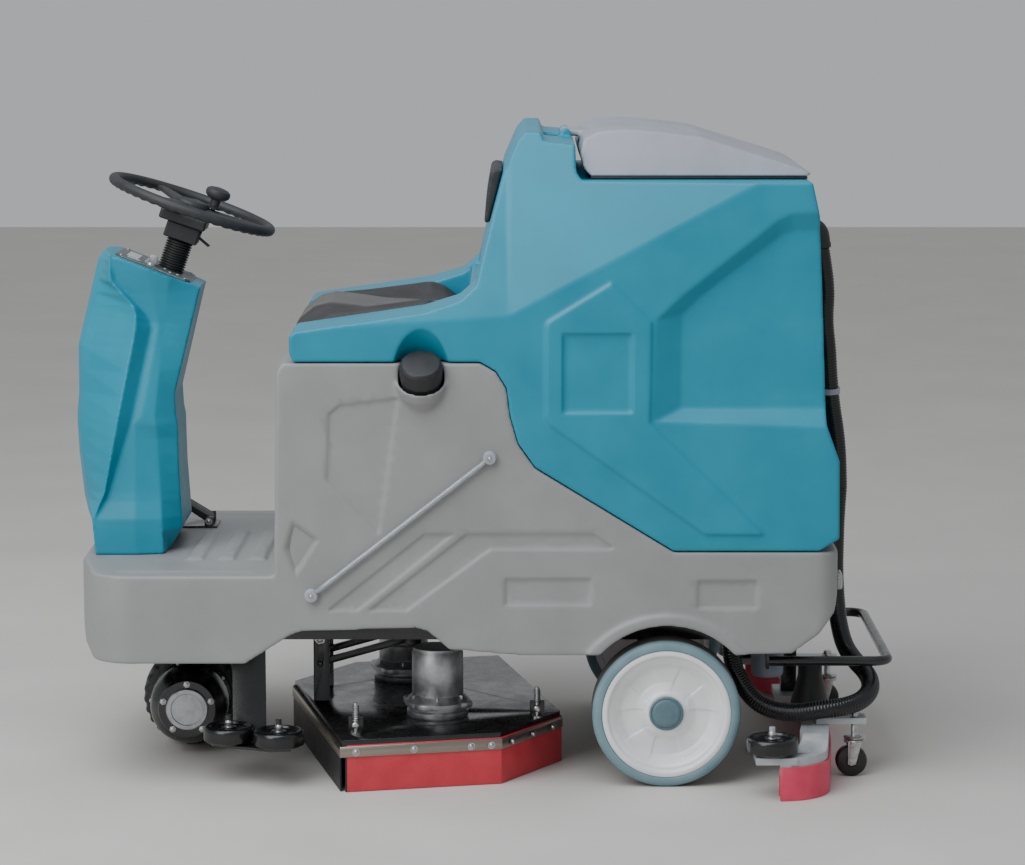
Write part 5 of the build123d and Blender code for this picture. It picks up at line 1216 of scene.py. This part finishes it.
# ------------------------------------------------------------------ squeegee
eased("squeegee_body", "squeegee", "cast_paint", CAST, 2.2, 3)
eased("squeegee_blades", "squeegee", "red_rubber", PINK_RUBBER, 0.6, 1)
eased("suction_inlet", "squeegee", "black_plastic", BLACK, 1.0)
for tag, x in ("left", 300), ("right", -300):
    s = 1 if x > 0 else -1
    eased("caster_fork_" + tag, "caster_" + tag[0], "zinc", ZINC, 0.8, 2)
    tread_piece = turned("caster_tread_" + tag, [(-12, 12), (-12, 26), (-11, 30), (-8, 32), (8, 32),
                                                 (11, 30), (12, 26), (12, 12),
                                                 (9, 11), (9, 4.2), (-9, 4.2), (-9, 11)], (x, 760, 32),
                                                 (1, 0, 0), 56)
    wear(tread_piece, "caster_wheel_" + tag[0], "roller_rubber", GLOSS_RUBBER, "caster_wheel_" + tag)
    rings = turned("caster_rings_" + tag, [(72.5, 8), (72.5, 21), (74, 22.5), (76, 21), (77, 18), (79, 22),
                                           (81, 22.5), (83, 20),
                                           (84.4, 8)], (x, 766, 0), (0, 0, 1), 48)
    axle_nut = placed("axle_nut", HEX_BOLT, spots((x + 18.5, 760, 32)), ZINC, 0.9)
    both = joined("caster_bearing_" + tag, rings, axle_nut)
    softened(both, 40)
    wear(both, "caster_" + tag[0], "zinc", ZINC)
    stem_nut = placed("caster_stem_nut_" + tag, HEX_BOLT, spots((x, 766, 128.2), aim=(0, 0, 1)), ZINC, 1.3)
    wear(stem_nut, "caster_" + tag[0], "zinc", ZINC)

# ------------------------------------------------------------------ small fittings
CAP_MOUTH = (405, -114, 830)
CAP_AXIS = (sin(radians(36)), 0, cos(radians(36)))
cap_grip = turned("filler_cap_grip", [(2, 38), (2, 41), (5, 43), (36, 43), (39, 41)], CAP_MOUTH, CAP_AXIS, 14)
cap_top = turned("filler_cap_top", [(-13, 30), (-13, 40), (3, 40), (36, 40), (40, 39.5), (42.4, 37),
                                    (43.2, 32),
                                    (43.4, 0)], CAP_MOUTH, CAP_AXIS, 56)
cap_piece = joined("filler_cap_moulding", cap_grip, cap_top)
softened(cap_piece, 28)
wear(cap_piece, "cap", "black_plastic", BLACK, "filler_cap")
low_end, high_end = Vector((419, -335, 395)), Vector((419, 22, 673))
run = high_end - low_end
tube = swept("sight_tube_clear", [low_end * 0.001 + run * 0.001 * i / 12 for i in range(13)], 0.0052, 20)
tube.data.shade_smooth()
wear(tube, "chassis", "clear_tube", CLEAR, "sight_tube")
core = swept("sight_tube_core", [low_end * 0.001 + run * 0.001 * i / 12 for i in range(13)], 0.0030, 14)
core.data.shade_smooth()
wear(core, "chassis", "clear_tube", SCREEN)
for tag, at in ("low", low_end), ("high", high_end):
    eye_piece = turned("sight_tube_fitting_" + tag, [(-9, 4), (-8.8, 14), (-5, 14), (-4, 12.6), (4, 12.6),
                                                     (6, 11), (6.6, 6), (6.4, 0)],
                       at, (1, 0, 0), 40)
    wear(eye_piece, "chassis", "clear_tube", LID_GREY)
    head = placed("fitting_screw_" + tag, DOME_BOLT, spots((at.x + 6.2, at.y, at.z)), ZINC, 0.75)
    wear(head, "chassis", "zinc", ZINC)

eased("drain_valve", "chassis", "brass", BLACK, 1.5)
eased("valve_lever", "valve", "button_red", RED_PLASTIC, 1.0)
eased("lamp_lenses", "chassis", "lamp_lens", LENS, 3.0, 3)
eased("lid_seal", "lid", "black_rubber", RUBBER, 1.0)
eased("tank_hinge", "chassis", "zinc", ZINC, 1.0)
eased("battery_pack", "chassis", "battery_case", BATTERY, 3.0, 2)
eased("vacuum_motor", "tank", "aluminium_case", ALU, 3.0, 2)
for node in ("steering_shaft", "column_shaft", "steering_chain"):
    body = {"steering_shaft": "steering", "column_shaft": "column", "steering_chain": "chassis"}[node]
    eased(node, body, "zinc", ZINC, 0.8)

clip = turned("hose_clip", [(-6, 17.5), (-6, 21.5), (6, 21.5), (6, 17.5)], (-31, 738.5, 752),
              (0.1, -0.05, 1), 32)
wear(clip, "tank", "light_grey_plastic", LID_GREY)
outlet = turned("drain_outlet", [(-36, 20), (-34, 30), (-30, 33), (30, 34), (32, 36), (40, 36), (40, 20)],
                (200, 594, 222), (0, 0, 1), 48)
wear(outlet, "chassis", "grey_plastic", DRAIN_GREY)
